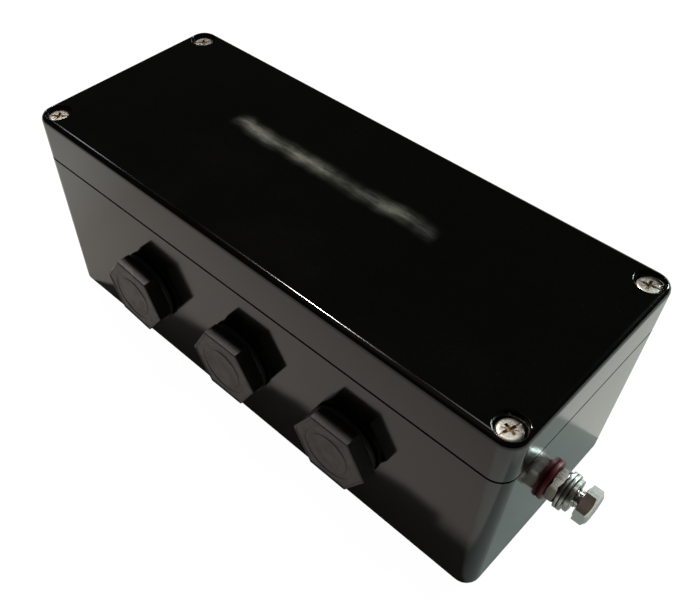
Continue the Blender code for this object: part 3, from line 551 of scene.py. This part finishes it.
def run_recipe(tree, mesh, material, **sizes):
    """The mesh that a tree makes from a mesh and its named sizes (Slot_Width for Slot Width)."""
    holder = bpy.data.objects.new("work_piece", mesh)
    bpy.context.scene.collection.objects.link(holder)
    modifier = holder.modifiers.new("recipe", "NODES")
    modifier.node_group = tree
    wanted = {label.replace("_", " "): value for label, value in sizes.items()}
    wanted["Finish"] = material
    for item in tree.interface.items_tree:
        if item.in_out == "INPUT" and item.name in wanted:
            modifier[item.identifier] = wanted[item.name]
    bpy.context.view_layer.update()
    evaluated = holder.evaluated_get(bpy.context.evaluated_depsgraph_get())
    result = bpy.data.meshes.new_from_object(evaluated)
    holder.modifiers.clear()
    bpy.data.objects.remove(holder)
    bpy.data.meshes.remove(mesh)
    return result


# ---- Shapes -------------------------------------------------------------------
CREASE = math.radians(30.0)


def turned(sections, sides=48, angle=0.0, closed_loop=False):
    """A solid of round and hexagonal sections about Z, from the lower pole to the upper one,
    or all round a ring's section, anticlockwise with the radius to the right."""
    mesh = bmesh.new()
    rings = []
    for section in sections:
        radius, level = section if isinstance(section, tuple) else section(0.0)
        if radius < 1e-7:
            rings.append([mesh.verts.new((0.0, 0.0, level))])
            continue
        ring = []
        for index in range(sides):
            way = 2 * math.pi * index / sides
            radius, level = section if isinstance(section, tuple) else section(way)
            x = radius * math.cos(way + angle)
            y = radius * math.sin(way + angle)
            ring.append(mesh.verts.new((x, y, level)))
        rings.append(ring)
    pairs = list(zip(rings, rings[1:]))
    if closed_loop:
        pairs.append((rings[-1], rings[0]))
    for lower, upper in pairs:
        for i in range(sides):
            j = (i + 1) % sides
            if len(lower) == 1:
                mesh.faces.new((lower[0], upper[j], upper[i]))
            elif len(upper) == 1:
                mesh.faces.new((lower[i], lower[j], upper[0]))
            else:
                mesh.faces.new((lower[i], lower[j], upper[j], upper[i]))
    return to_mesh(mesh)


def hexagonal(flats, level, cone=None, slope=0.0):
    """A hexagonal section for turned(); beyond the cone's radius its level follows the slope."""
    def section(way):
        radius = 0.5 * flats / math.cos(way % (math.pi / 3) - math.pi / 6)
        beyond = 0.0 if cone is None else max(0.0, radius - cone)
        return radius, level + slope * beyond
    return section


def to_mesh(work):
    mesh = bpy.data.meshes.new("shape")
    work.to_mesh(mesh)
    work.free()
    return mesh


def washer_section(inner, outer, low, high, ease):
    """A washer's section with eased edges, for turned(..., closed_loop=True)."""
    nip = 0.3 * ease
    return [(inner, low + ease), (inner + ease, low), (outer - ease, low), (outer - nip, low + nip),
            (outer, low + ease), (outer, high - ease), (outer - nip, high - nip),
            (outer - ease, high), (inner + ease, high), (inner, high - ease)]


def levels(low, high, step):
    """Evenly spaced levels from low to high, both ends included."""
    count = max(1, round((high - low) / step))
    return [low + (high - low) * i / count for i in range(count + 1)]


def add_piece(name, mesh, place, material, body, node):
    """Puts a mesh made about Z in its place, and lets it stand for its CAD node."""
    mesh.name = name
    mesh.transform(place)
    mesh.materials.clear()
    mesh.materials.append(material)
    mesh.shade_smooth()
    mesh.set_sharp_from_angle(angle=CREASE)
    piece = bpy.data.objects.new(name, mesh)
    bpy.context.scene.collection.objects.link(piece)
    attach(piece, body)
    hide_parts(node)


def upright(node, level=None):
    """Z stays up; the origin is on the node's axis, at its lowest level unless another is given."""
    low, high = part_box(node)
    height = low.z if level is None else level
    return Matrix.Translation(((low.x + high.x) / 2, (low.y + high.y) / 2, height))


def out_of_front(node, depth):
    """Local Z points out of the front wall; the origin is on the node's axis, at a depth."""
    low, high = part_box(node)
    centre = Vector(((low.x + high.x) / 2, depth, (low.z + high.z) / 2))
    return Matrix.Translation(centre) @ Matrix.Rotation(math.pi / 2, 4, "X")


def out_of_end(node, depth):
    """Local Z points out of the end wall; the origin is on the node's axis, at a depth."""
    low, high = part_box(node)
    centre = Vector((depth, (low.y + high.y) / 2, (low.z + high.z) / 2))
    return Matrix.Translation(centre) @ Matrix.Rotation(math.pi / 2, 4, "Y")


# ---- Shells -------------------------------------------------------------------
CORNER_RADIUS = 5.7 * MM
WALL_DRAFT = 0.010
TOP_ROUNDING = 2.1 * MM
BOTTOM_ROUNDING = 1.2 * MM
OUTSIDE_REACH = 0.25 * MM
# The level of each rim of the parting, and how far up it is drawn.
PARTING_RIMS = ((58.7 * MM, -0.35 * MM), (59.1 * MM, 0.10 * MM))
WIDEST_TURN = math.radians(26.0)
SHELL_CREASE = math.radians(32.0)
BOX_TOP = cad_box[1][2]


def wall_reach(level):
    """Distance of the outer wall from the shell's core at a height, before any rounding."""
    return CORNER_RADIUS - WALL_DRAFT * (BOX_TOP - level)


def outer_normal(point):
    """The true direction of the outer surface at a point, or None inside the shell."""
    core = Vector((
        max(-CORNER_MIDDLE[0], min(CORNER_MIDDLE[0], point.x)),
        max(-CORNER_MIDDLE[1], min(CORNER_MIDDLE[1], point.y))))
    off = Vector((point.x, point.y)) - core
    reach = wall_reach(point.z)
    for level, size, way in ((BOX_TOP, TOP_ROUNDING, 1.0), (0.0, BOTTOM_ROUNDING, -1.0)):
        start = level - way * size
        if (point.z - start) * way >= -1e-6:
            side = off.length - (reach - size)
            rise = (point.z - start) * way
            if side <= 1e-6 or off.length < 1e-9:
                return Vector((0.0, 0.0, way)) if rise > size - 1e-6 else None
            if math.hypot(side, rise) < size - OUTSIDE_REACH:
                return None
            flat = off.normalized() * side
            return Vector((flat.x, flat.y, way * rise)).normalized()
    if off.length < reach - OUTSIDE_REACH:
        return None
    flat = off.normalized()
    return Vector((flat.x, flat.y, -WALL_DRAFT)).normalized()


def ease_rim(work):
    """Draws the outer rims of the parting back a little, which makes its line wider."""
    for vertex in work.verts:
        place = vertex.co
        for level, back in PARTING_RIMS:
            if abs(place.z - level) < 0.02 * MM:
                beyond = (abs(place.x) - CORNER_MIDDLE[0], abs(place.y) - CORNER_MIDDLE[1])
                off = Vector([max(0.0, side) for side in beyond])
                if off.length > wall_reach(level) - 0.1 * MM:
                    place.z += back


def add_smooth_shell(name, node, body, material):
    """The CAD shell with its outer surface shaded as the true rounded one."""
    mesh = frame["nodes"][node].data.copy()
    mesh.name = name
    work = bmesh.new()
    work.from_mesh(mesh)
    bmesh.ops.remove_doubles(work, verts=work.verts, dist=1e-6)
    ease_rim(work)
    work.to_mesh(mesh)
    work.free()
    mesh.shade_smooth()
    mesh.set_sharp_from_angle(angle=SHELL_CREASE)
    normals = [Vector(corner.vector) for corner in mesh.corner_normals]
    for face in mesh.polygons:
        for corner in face.loop_indices:
            true_way = outer_normal(mesh.vertices[mesh.loops[corner].vertex_index].co)
            if true_way is not None and face.normal.angle(true_way) < WIDEST_TURN:
                normals[corner] = true_way
    mesh.normals_split_custom_set([tuple(way) for way in normals])
    mesh.materials.clear()
    mesh.materials.append(material)
    shell = bpy.data.objects.new(name, mesh)
    bpy.context.scene.collection.objects.link(shell)
    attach(shell, body)
    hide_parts(node)


# ---- Stopping plugs -----------------------------------------------------------
PLUG_FLATS = 24.0 * MM
PLUG_THREAD_RADIUS = 10.0 * MM
PLUG_THREAD_DEPTH = 0.8 * MM
PLUG_PITCH = 1.5 * MM
PLUG_LEAD = 0.8 * MM
PLUG_BORE_RADIUS = 7.5 * MM
PLUG_BORE_END = 2.1 * MM
PLUG_HEAD = 5.1 * MM
PLUG_CHAMFER = 0.25 * MM
PLUG_FACE_FLATS = PLUG_FLATS - 2 * PLUG_CHAMFER
PLUG_FIELD = PLUG_HEAD - 0.22 * MM
PLUG_RING = PLUG_HEAD - 0.42 * MM
PLUG_RING_OUTER = 9.0 * MM
PLUG_RING_INNER = 7.3 * MM
PLUG_RING_SLOPE = 0.3 * MM
PLUG_TURNS_DEG = (174.0, 181.0, 180.0)
FITTING_GAP = 0.3 * MM
CONE_SLOPE = math.tan(math.radians(30.0))


def plug_sections(tip):
    """A plug's sections, from the closed end of its hollow, round the thread, to the middle of its face."""
    sections = [(0.0, PLUG_BORE_END), (PLUG_BORE_RADIUS, PLUG_BORE_END), (PLUG_BORE_RADIUS, tip + 0.5 * MM),
                (PLUG_BORE_RADIUS + 0.5 * MM, tip), (PLUG_THREAD_RADIUS - PLUG_LEAD, tip)]
    sections += [(PLUG_THREAD_RADIUS, level) for level in levels(tip + PLUG_LEAD, 0.0, PLUG_PITCH / 6)]
    sections += [hexagonal(PLUG_FACE_FLATS, 0.0), hexagonal(PLUG_FLATS, PLUG_CHAMFER),
                 hexagonal(PLUG_FLATS, PLUG_HEAD - PLUG_CHAMFER),
                 hexagonal(PLUG_FACE_FLATS, PLUG_HEAD - 0.05 * MM),
                 hexagonal(PLUG_FACE_FLATS - 0.2 * MM, PLUG_HEAD),
                 hexagonal(PLUG_FACE_FLATS - 0.9 * MM, PLUG_HEAD),
                 hexagonal(PLUG_FACE_FLATS - 1.3 * MM, PLUG_FIELD)]
    sections += [(PLUG_RING_OUTER + PLUG_RING_SLOPE, PLUG_FIELD), (PLUG_RING_OUTER, PLUG_RING),
                 (PLUG_RING_INNER, PLUG_RING), (PLUG_RING_INNER - PLUG_RING_SLOPE, PLUG_FIELD),
                 (0.0, PLUG_FIELD)]
    return sections


def add_plugs(finishes, thread):
    """Hexagonal stopping plugs: a sunk face with a moulded ring, a hollow threaded shank."""
    polyamide = finishes["polyamide"]
    for index, turn in enumerate(PLUG_TURNS_DEG, start=1):
        node = f"stopping_plug_{index}"
        low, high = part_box(node)
        tip = -(high.y - low.y - PLUG_HEAD)
        mesh = turned(plug_sections(tip), 72, math.radians(turn))
        mesh = run_recipe(thread, mesh, polyamide, Radius=PLUG_THREAD_RADIUS, Pitch=PLUG_PITCH,
                          Depth=PLUG_THREAD_DEPTH, Low=tip + PLUG_LEAD + 0.1 * MM, High=-1.2 * MM)
        add_piece(f"plug_{index}", mesh, out_of_front(node, low.y + PLUG_HEAD), polyamide, f"plug_{index}",
                  node)


def add_plug_fittings(finishes):
    """The rubber collar in front of the wall and the locknut behind it, for each plug."""
    bore = PLUG_THREAD_RADIUS + FITTING_GAP
    for index in (1, 2, 3):
        node = f"plug_seal_{index}"
        low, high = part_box(node)
        section = washer_section(bore, (high.x - low.x) / 2, 0.0, high.y - low.y, 0.4 * MM)
        add_piece(f"plug_collar_{index}", turned(section, 64, closed_loop=True), out_of_front(node, high.y),
                  finishes["rubber_seal"], f"plug_{index}_travel", node)
        node = f"plug_locknut_{index}"
        low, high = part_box(node)
        mesh = nut_mesh(PLUG_FLATS, high.y - low.y, bore, 72)
        add_piece(f"plug_nut_{index}", mesh, out_of_front(node, high.y), finishes["polyamide"], "base", node)


def nut_mesh(flats, height, bore, sides, angle=0.0):
    """A nut from 0 to its height, with conical chamfers outside and in the bore."""
    cone = 0.475 * flats
    lead = 0.3 * MM
    sections = [(bore, lead), (bore + lead, 0.0), (cone, 0.0), hexagonal(flats, 0.0, cone, CONE_SLOPE),
                hexagonal(flats, height, cone, -CONE_SLOPE), (cone, height), (bore + lead, height),
                (bore, height - lead)]
    return turned(sections, sides, angle, closed_loop=True)


# ---- Lid screws, retainers and inserts ----------------------------------------
SCREW_TURNS_DEG = (38.7, 72.0, 8.0, 53.1)
SCREW_PITCH = 0.7 * MM
SCREW_THREAD_DEPTH = 0.4 * MM
SCREW_SHANK = 2.0 * MM
SCREW_LEAD = 0.5 * MM
SCREW_PLAIN = -9.0 * MM
SCREW_NECK = SCREW_SHANK - 0.25 * MM
SCREW_HEAD = 3.5 * MM
SCREW_HEAD_HEIGHT = 2.6 * MM
INSERT_BORE = 2.3 * MM
INSERT_EDGE = 0.2 * MM
INSERT_RIBS = 36.0


def screw_sections(tip):
    """A lid screw's sections, from its tip, past the plain neck, to the middle of its domed head."""
    sections = [(0.0, tip), (SCREW_SHANK - SCREW_LEAD, tip)]
    sections += [(SCREW_SHANK, level) for level in levels(tip + SCREW_LEAD, SCREW_PLAIN, SCREW_PITCH / 6)]
    sections += [(SCREW_NECK, SCREW_PLAIN + 0.3 * MM), (SCREW_NECK, -SCREW_HEAD_HEIGHT),
                 (SCREW_HEAD - 0.1 * MM, -SCREW_HEAD_HEIGHT), (SCREW_HEAD, -SCREW_HEAD_HEIGHT + 0.1 * MM)]
    sections += [(SCREW_HEAD, -0.70 * MM), (SCREW_HEAD - 0.08 * MM, -0.42 * MM),
                 (SCREW_HEAD - 0.30 * MM, -0.18 * MM), (SCREW_HEAD - 0.65 * MM, -0.05 * MM),
                 (SCREW_HEAD - 1.1 * MM, 0.0), (0.0, 0.0)]
    return sections


def add_lid_screw(index, turn, steel, thread, drive):
    """A captive screw: a slot with a cross in it, four fine notches between, and a thread at the end."""
    node = f"lid_screw_{index}"
    low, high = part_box(node)
    tip = low.z - high.z
    mesh = run_recipe(drive, turned(screw_sections(tip), 30), steel, Angle=turn, Slot_Width=0.55 * MM,
                      Slot_Depth=0.3 * MM, Slot_Length=9.0 * MM, Cross_Width=0.9 * MM, Cross_Depth=0.9 * MM,
                      Cross_Length=3.6 * MM)
    notch = {"Width": 0.3 * MM, "Depth": 0.2 * MM, "Length": 4.4 * MM}
    notches = {f"{cut}_{side}": size for cut in ("Slot", "Cross") for side, size in notch.items()}
    mesh = run_recipe(drive, mesh, steel, Angle=turn + math.pi / 4, **notches)
    mesh = run_recipe(thread, mesh, steel, Radius=SCREW_SHANK, Pitch=SCREW_PITCH, Depth=SCREW_THREAD_DEPTH,
                      Low=tip + SCREW_LEAD + 0.05 * MM, High=SCREW_PLAIN - 0.05 * MM)
    add_piece(f"cover_screw_{index}", mesh, upright(node, high.z), steel, node, node)


def add_insert(index, brass, knurl):
    """A knurled brass thread insert in the base."""
    node = f"lid_insert_{index}"
    low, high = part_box(node)
    height = high.z - low.z
    outer = (high.x - low.x) / 2
    sections = [(INSERT_BORE, 0.3 * MM), (INSERT_BORE + 0.2 * MM, 0.0), (outer - INSERT_EDGE, 0.0)]
    sections += [(outer, level) for level in levels(INSERT_EDGE, height - INSERT_EDGE, 0.8 * MM)]
    sections += [(outer - INSERT_EDGE, height), (INSERT_BORE + 0.2 * MM, height),
                 (INSERT_BORE, height - 0.3 * MM)]
    mesh = run_recipe(knurl, turned(sections, 144, closed_loop=True), brass, Radius=outer, Ribs=INSERT_RIBS,
                      Depth=0.15 * MM, Low=0.5 * MM, High=height - 0.5 * MM)
    add_piece(f"thread_insert_{index}", mesh, upright(node), brass, "base", node)


def add_lid_fasteners(finishes, thread, drive, knurl):
    """Captive screws with a slot and a cross, their retaining washers and brass inserts."""
    for index, turn in enumerate(SCREW_TURNS_DEG, start=1):
        add_lid_screw(index, math.radians(turn), finishes["screw_steel"], thread, drive)
        add_washer(f"cover_screw_washer_{index}", f"screw_retainer_{index}", finishes["rubber_seal"],
                   f"lid_screw_{index}_travel", SCREW_SHANK + 0.3 * MM, upright, 0.15 * MM)
        add_insert(index, finishes["brass"], knurl)


def add_washer(name, node, material, body, bore, frame_of, ease, depth=None):
    """A washer with eased edges in the place of a CAD one; frame_of says which way its axis points."""
    low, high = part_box(node)
    thickness, _, width = sorted(high - low)
    mesh = turned(washer_section(bore, width / 2, 0.0, thickness, ease), 48, closed_loop=True)
    add_piece(name, mesh, frame_of(node, depth), material, body, node)


# ---- External earth bolt ------------------------------------------------------
EARTH_SHANK = 3.0 * MM
EARTH_BORE = 3.3 * MM
EARTH_FLATS = 10.0 * MM
EARTH_PITCH = 1.0 * MM
EARTH_THREAD_DEPTH = 0.6 * MM
EARTH_LEAD = 0.6 * MM
EARTH_HEAD = 4.1 * MM
EARTH_CONE = 0.47 * EARTH_FLATS
EARTH_NUT_TURN = math.radians(40.0)
EARTH_HEAD_TURN = math.radians(3.5)
WASHER_EDGE = 0.12 * MM
FIBRE_EDGE = 0.55 * MM
FIBRE_TO_WALL = -0.30 * MM
SPRING_THICKNESS = 1.15 * MM
SPRING_GAP = 1.2 * MM


def split_ring(bore, outer, thickness, rise, gap, steps=60):
    """A spring washer: a square section wound not quite once round Z, one end lifted."""
    mesh = bmesh.new()
    ease = WASHER_EDGE
    section = ((bore, ease), (bore + ease, 0.0), (outer - ease, 0.0), (outer, ease),
               (outer, thickness - ease), (outer - ease, thickness), (bore + ease, thickness),
               (bore, thickness - ease))
    half_gap = gap / (bore + outer)
    loops = []
    for step in range(steps + 1):
        share = step / steps
        angle = half_gap + (2 * math.pi - 2 * half_gap) * share
        x = math.cos(angle)
        y = math.sin(angle)
        base = rise * share
        loops.append([mesh.verts.new((radius * x, radius * y, base + level)) for radius, level in section])
    for first, second in zip(loops, loops[1:]):
        for i in range(len(section)):
            j = (i + 1) % len(section)
            mesh.faces.new((first[i], second[i], second[j], first[j]))
    mesh.faces.new(loops[0])
    mesh.faces.new(list(reversed(loops[-1])))
    bmesh.ops.recalc_face_normals(mesh, faces=mesh.faces)
    return to_mesh(mesh)


def add_earth_washers(finishes, dull):
    """The flat washers outside and inside the wall, and the fibre washer, which reaches the drafted wall."""
    for node, body in (("earth_washer_inner", "earth_bolt_travel"),
                       ("earth_washer_outer", "earth_bolt_travel"),
                       ("earth_inside_washer", "base")):
        add_washer(node.replace("earth", "ground"), node, dull, body, EARTH_BORE, out_of_end,
                   WASHER_EDGE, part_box(node)[0].x)
    node = "earth_fibre_washer"
    low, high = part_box(node)
    section = washer_section(EARTH_BORE, (high.y - low.y) / 2, FIBRE_TO_WALL, high.x - low.x, FIBRE_EDGE)
    add_piece("ground_fibre_washer", turned(section, 48, closed_loop=True), out_of_end(node, low.x),
              finishes["red_fibre"], "base", node)


def add_earth_nuts(stained_shaded_nickel):
    """The thin nut outside the wall and the nut inside it."""
    for node in ("earth_thin_nut", "earth_inside_nut"):
        low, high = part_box(node)
        mesh = nut_mesh(EARTH_FLATS, high.x - low.x, EARTH_BORE, 60, EARTH_NUT_TURN)
        add_piece(node.replace("earth", "ground"), mesh, out_of_end(node, low.x), stained_shaded_nickel, "base", node)


def add_spring_washer(dull):
    """The wound spring washer under the bolt's head."""
    node = "earth_spring_washer"
    low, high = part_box(node)
    rise = high.x - low.x - SPRING_THICKNESS
    mesh = split_ring(EARTH_BORE, (high.y - low.y) / 2, SPRING_THICKNESS, rise, SPRING_GAP)
    add_piece("ground_spring_washer", mesh, out_of_end(node, low.x), dull, "earth_bolt_travel", node)


def add_bolt(steel, thread):
    """The hexagon-headed earth bolt with a washer face under its head."""
    low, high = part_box("earth_bolt")
    tip = -(high.x - low.x - EARTH_HEAD)
    washer_face = EARTH_CONE - 0.1 * MM
    sections = [(0.0, tip), (EARTH_SHANK - EARTH_LEAD, tip)]
    sections += [(EARTH_SHANK, level) for level in levels(tip + EARTH_LEAD, 0.0, EARTH_PITCH / 6)]
    sections += [(washer_face, 0.0), (washer_face, 0.25 * MM), hexagonal(EARTH_FLATS, 0.3 * MM),
                 hexagonal(EARTH_FLATS, EARTH_HEAD - 0.15 * MM, washer_face, -CONE_SLOPE),
                 (EARTH_CONE - 0.25 * MM, EARTH_HEAD), (0.0, EARTH_HEAD)]
    mesh = run_recipe(thread, turned(sections, 60, EARTH_HEAD_TURN), steel, Radius=EARTH_SHANK,
                      Pitch=EARTH_PITCH, Depth=EARTH_THREAD_DEPTH, Low=tip + EARTH_LEAD + 0.1 * MM,
                      High=-0.3 * MM)
    add_piece("ground_bolt", mesh, out_of_end("earth_bolt", high.x - EARTH_HEAD), steel, "earth_bolt",
              "earth_bolt")


def add_earth_stack(finishes, thread):
    """The stack on the end wall: fibre washer, thin nut, two washers, spring washer, bolt."""
    # All the nickel finishes carry the painted dark reflection on their side to the front, the nuts' the
    # strongest.
    dull = bright_nickel("dull_nickel", 0.30, (0.30, 0.44))
    add_earth_washers(finishes, dull)
    add_earth_nuts(bright_nickel("front_shaded_nickel", 0.85))
    add_spring_washer(dull)
    add_bolt(finishes["nickel_steel"], thread)


# ---- Rail and terminals -------------------------------------------------------
TERMINALS = ("terminal_1", "terminal_2", "terminal_3", "terminal_4", "terminal_earth")
CLAMP_SCREW_TURN = math.radians(8.3)
SHARP_EDGE = math.radians(40.0)


def add_eased(name, node, material, ease):
    """A CAD piece of the base with its sharp edges eased, as moulded and rolled pieces have."""
    work = bmesh.new()
    work.from_mesh(frame["nodes"][node].data)
    bmesh.ops.remove_doubles(work, verts=work.verts, dist=0.001 * MM)
    bmesh.ops.dissolve_limit(work, angle_limit=math.radians(1.0), verts=work.verts, edges=work.edges)
    sharp = [edge for edge in work.edges if edge.is_manifold and edge.calc_face_angle() > SHARP_EDGE]
    bmesh.ops.bevel(work, geom=sharp, offset=ease, segments=2, profile=0.5, affect="EDGES",
                    clamp_overlap=True)
    add_piece(name, to_mesh(work), Matrix.Identity(4), material, "base", node)


def add_clamp_screw(node, steel, drive):
    """A terminal's headless clamping screw, with a slot and a small cross in its end."""
    low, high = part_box(node)
    radius = (high.x - low.x) / 2
    tip = low.z - high.z
    sections = [(0.0, tip), (radius - 0.3 * MM, tip), (radius, tip + 0.3 * MM), (radius, -0.3 * MM),
                (radius - 0.1 * MM, -0.1 * MM), (radius - 0.3 * MM, 0.0), (0.0, 0.0)]
    mesh = run_recipe(drive, turned(sections, 24), steel, Angle=CLAMP_SCREW_TURN, Slot_Width=0.6 * MM,
                      Slot_Depth=0.9 * MM, Slot_Length=9.0 * MM, Cross_Width=0.75 * MM,
                      Cross_Depth=1.4 * MM, Cross_Length=2.0 * MM)
    add_piece(node.replace("terminal", "clamp"), mesh, upright(node, high.z), steel, node, node)


def add_rail_and_terminals(finishes, drive):
    """The rail with its screws and clips, the terminals, and the clamping screws."""
    zinc = finishes["zinc_steel"]
    grey = finishes["terminal_housing"]
    add_eased("mounting_rail", "terminal_rail", zinc, 0.12 * MM)
    for index in (1, 2):
        add_eased(f"rail_clip_{index}", f"rail_bracket_{index}", grey, 0.3 * MM)
        add_eased(f"rail_fixing_screw_{index}", f"rail_screw_{index}", zinc, 0.08 * MM)
    add_eased("row_end_plate", "terminal_end_plate", grey, 0.2 * MM)
    for node in TERMINALS:
        slot = "earth_housing" if node == "terminal_earth" else "terminal_housing"
        add_eased(node.replace("terminal", "clamp_block"), node, finishes[slot], 0.2 * MM)
        for end in ("front", "back"):
            add_clamp_screw(f"{node}_screw_{end}", zinc, drive)


# ---- Studio set ---------------------------------------------------------------
def add_floor():
    """A wide pale floor just under the box."""
    half = FLOOR_SIZE / 2.0
    mesh = bpy.data.meshes.new("studio_floor")
    sides = ((-half, -half), (half, -half), (half, half), (-half, half))
    corners = [(x, y, FLOOR_LEVEL) for x, y in sides]
    mesh.from_pydata(corners, [], [(0, 1, 2, 3)])
    mesh.materials.append(floor_paper())
    floor = bpy.data.objects.new("studio_floor", mesh)
    bpy.context.scene.collection.objects.link(floor)


def set_dark_room():
    """A dim room behind a pale backdrop: the gloss mirrors little but the floor and the lights."""
    world = bpy.data.worlds.new("dim_room")
    world.use_nodes = True
    tree = world.node_tree
    backdrop = tree.nodes["Background"]
    path = tree.nodes.new("ShaderNodeLightPath")
    tone = tree.nodes.new("ShaderNodeMix")
    tone.data_type = "RGBA"
    tone.inputs[6].default_value = (*SOFT_FILL, 1.0)
    tone.inputs[7].default_value = (*DARK_ROOM, 1.0)
    tree.links.new(path.outputs["Is Glossy Ray"], tone.inputs["Factor"])
    sight = tree.nodes.new("ShaderNodeMix")
    sight.data_type = "RGBA"
    sight.inputs[7].default_value = (*BACKDROP, 1.0)
    tree.links.new(path.outputs["Is Camera Ray"], sight.inputs["Factor"])
    tree.links.new(tone.outputs[2], sight.inputs[6])
    tree.links.new(sight.outputs[2], backdrop.inputs["Color"])
    bpy.context.scene.world = world


add_camera()
add_floor()
set_dark_room()
for light in STUDIO_LIGHTS:
    add_soft_light(*light)
bpy.context.scene.view_settings.view_transform = "Standard"

finishes = paint_cad_nodes()
add_smooth_shell("box_base", "base_shell", "base", finishes["polyester"])
add_smooth_shell("box_lid", "lid", "lid", streaked_polyester())
finishes["screw_steel"] = screw_steel()
thread = thread_recipe()
drive = drive_recipe()
add_plugs(finishes, thread)
add_plug_fittings(finishes)
add_lid_fasteners(finishes, thread, drive, knurl_recipe())
add_earth_stack(finishes, thread)
add_rail_and_terminals(finishes, drive)
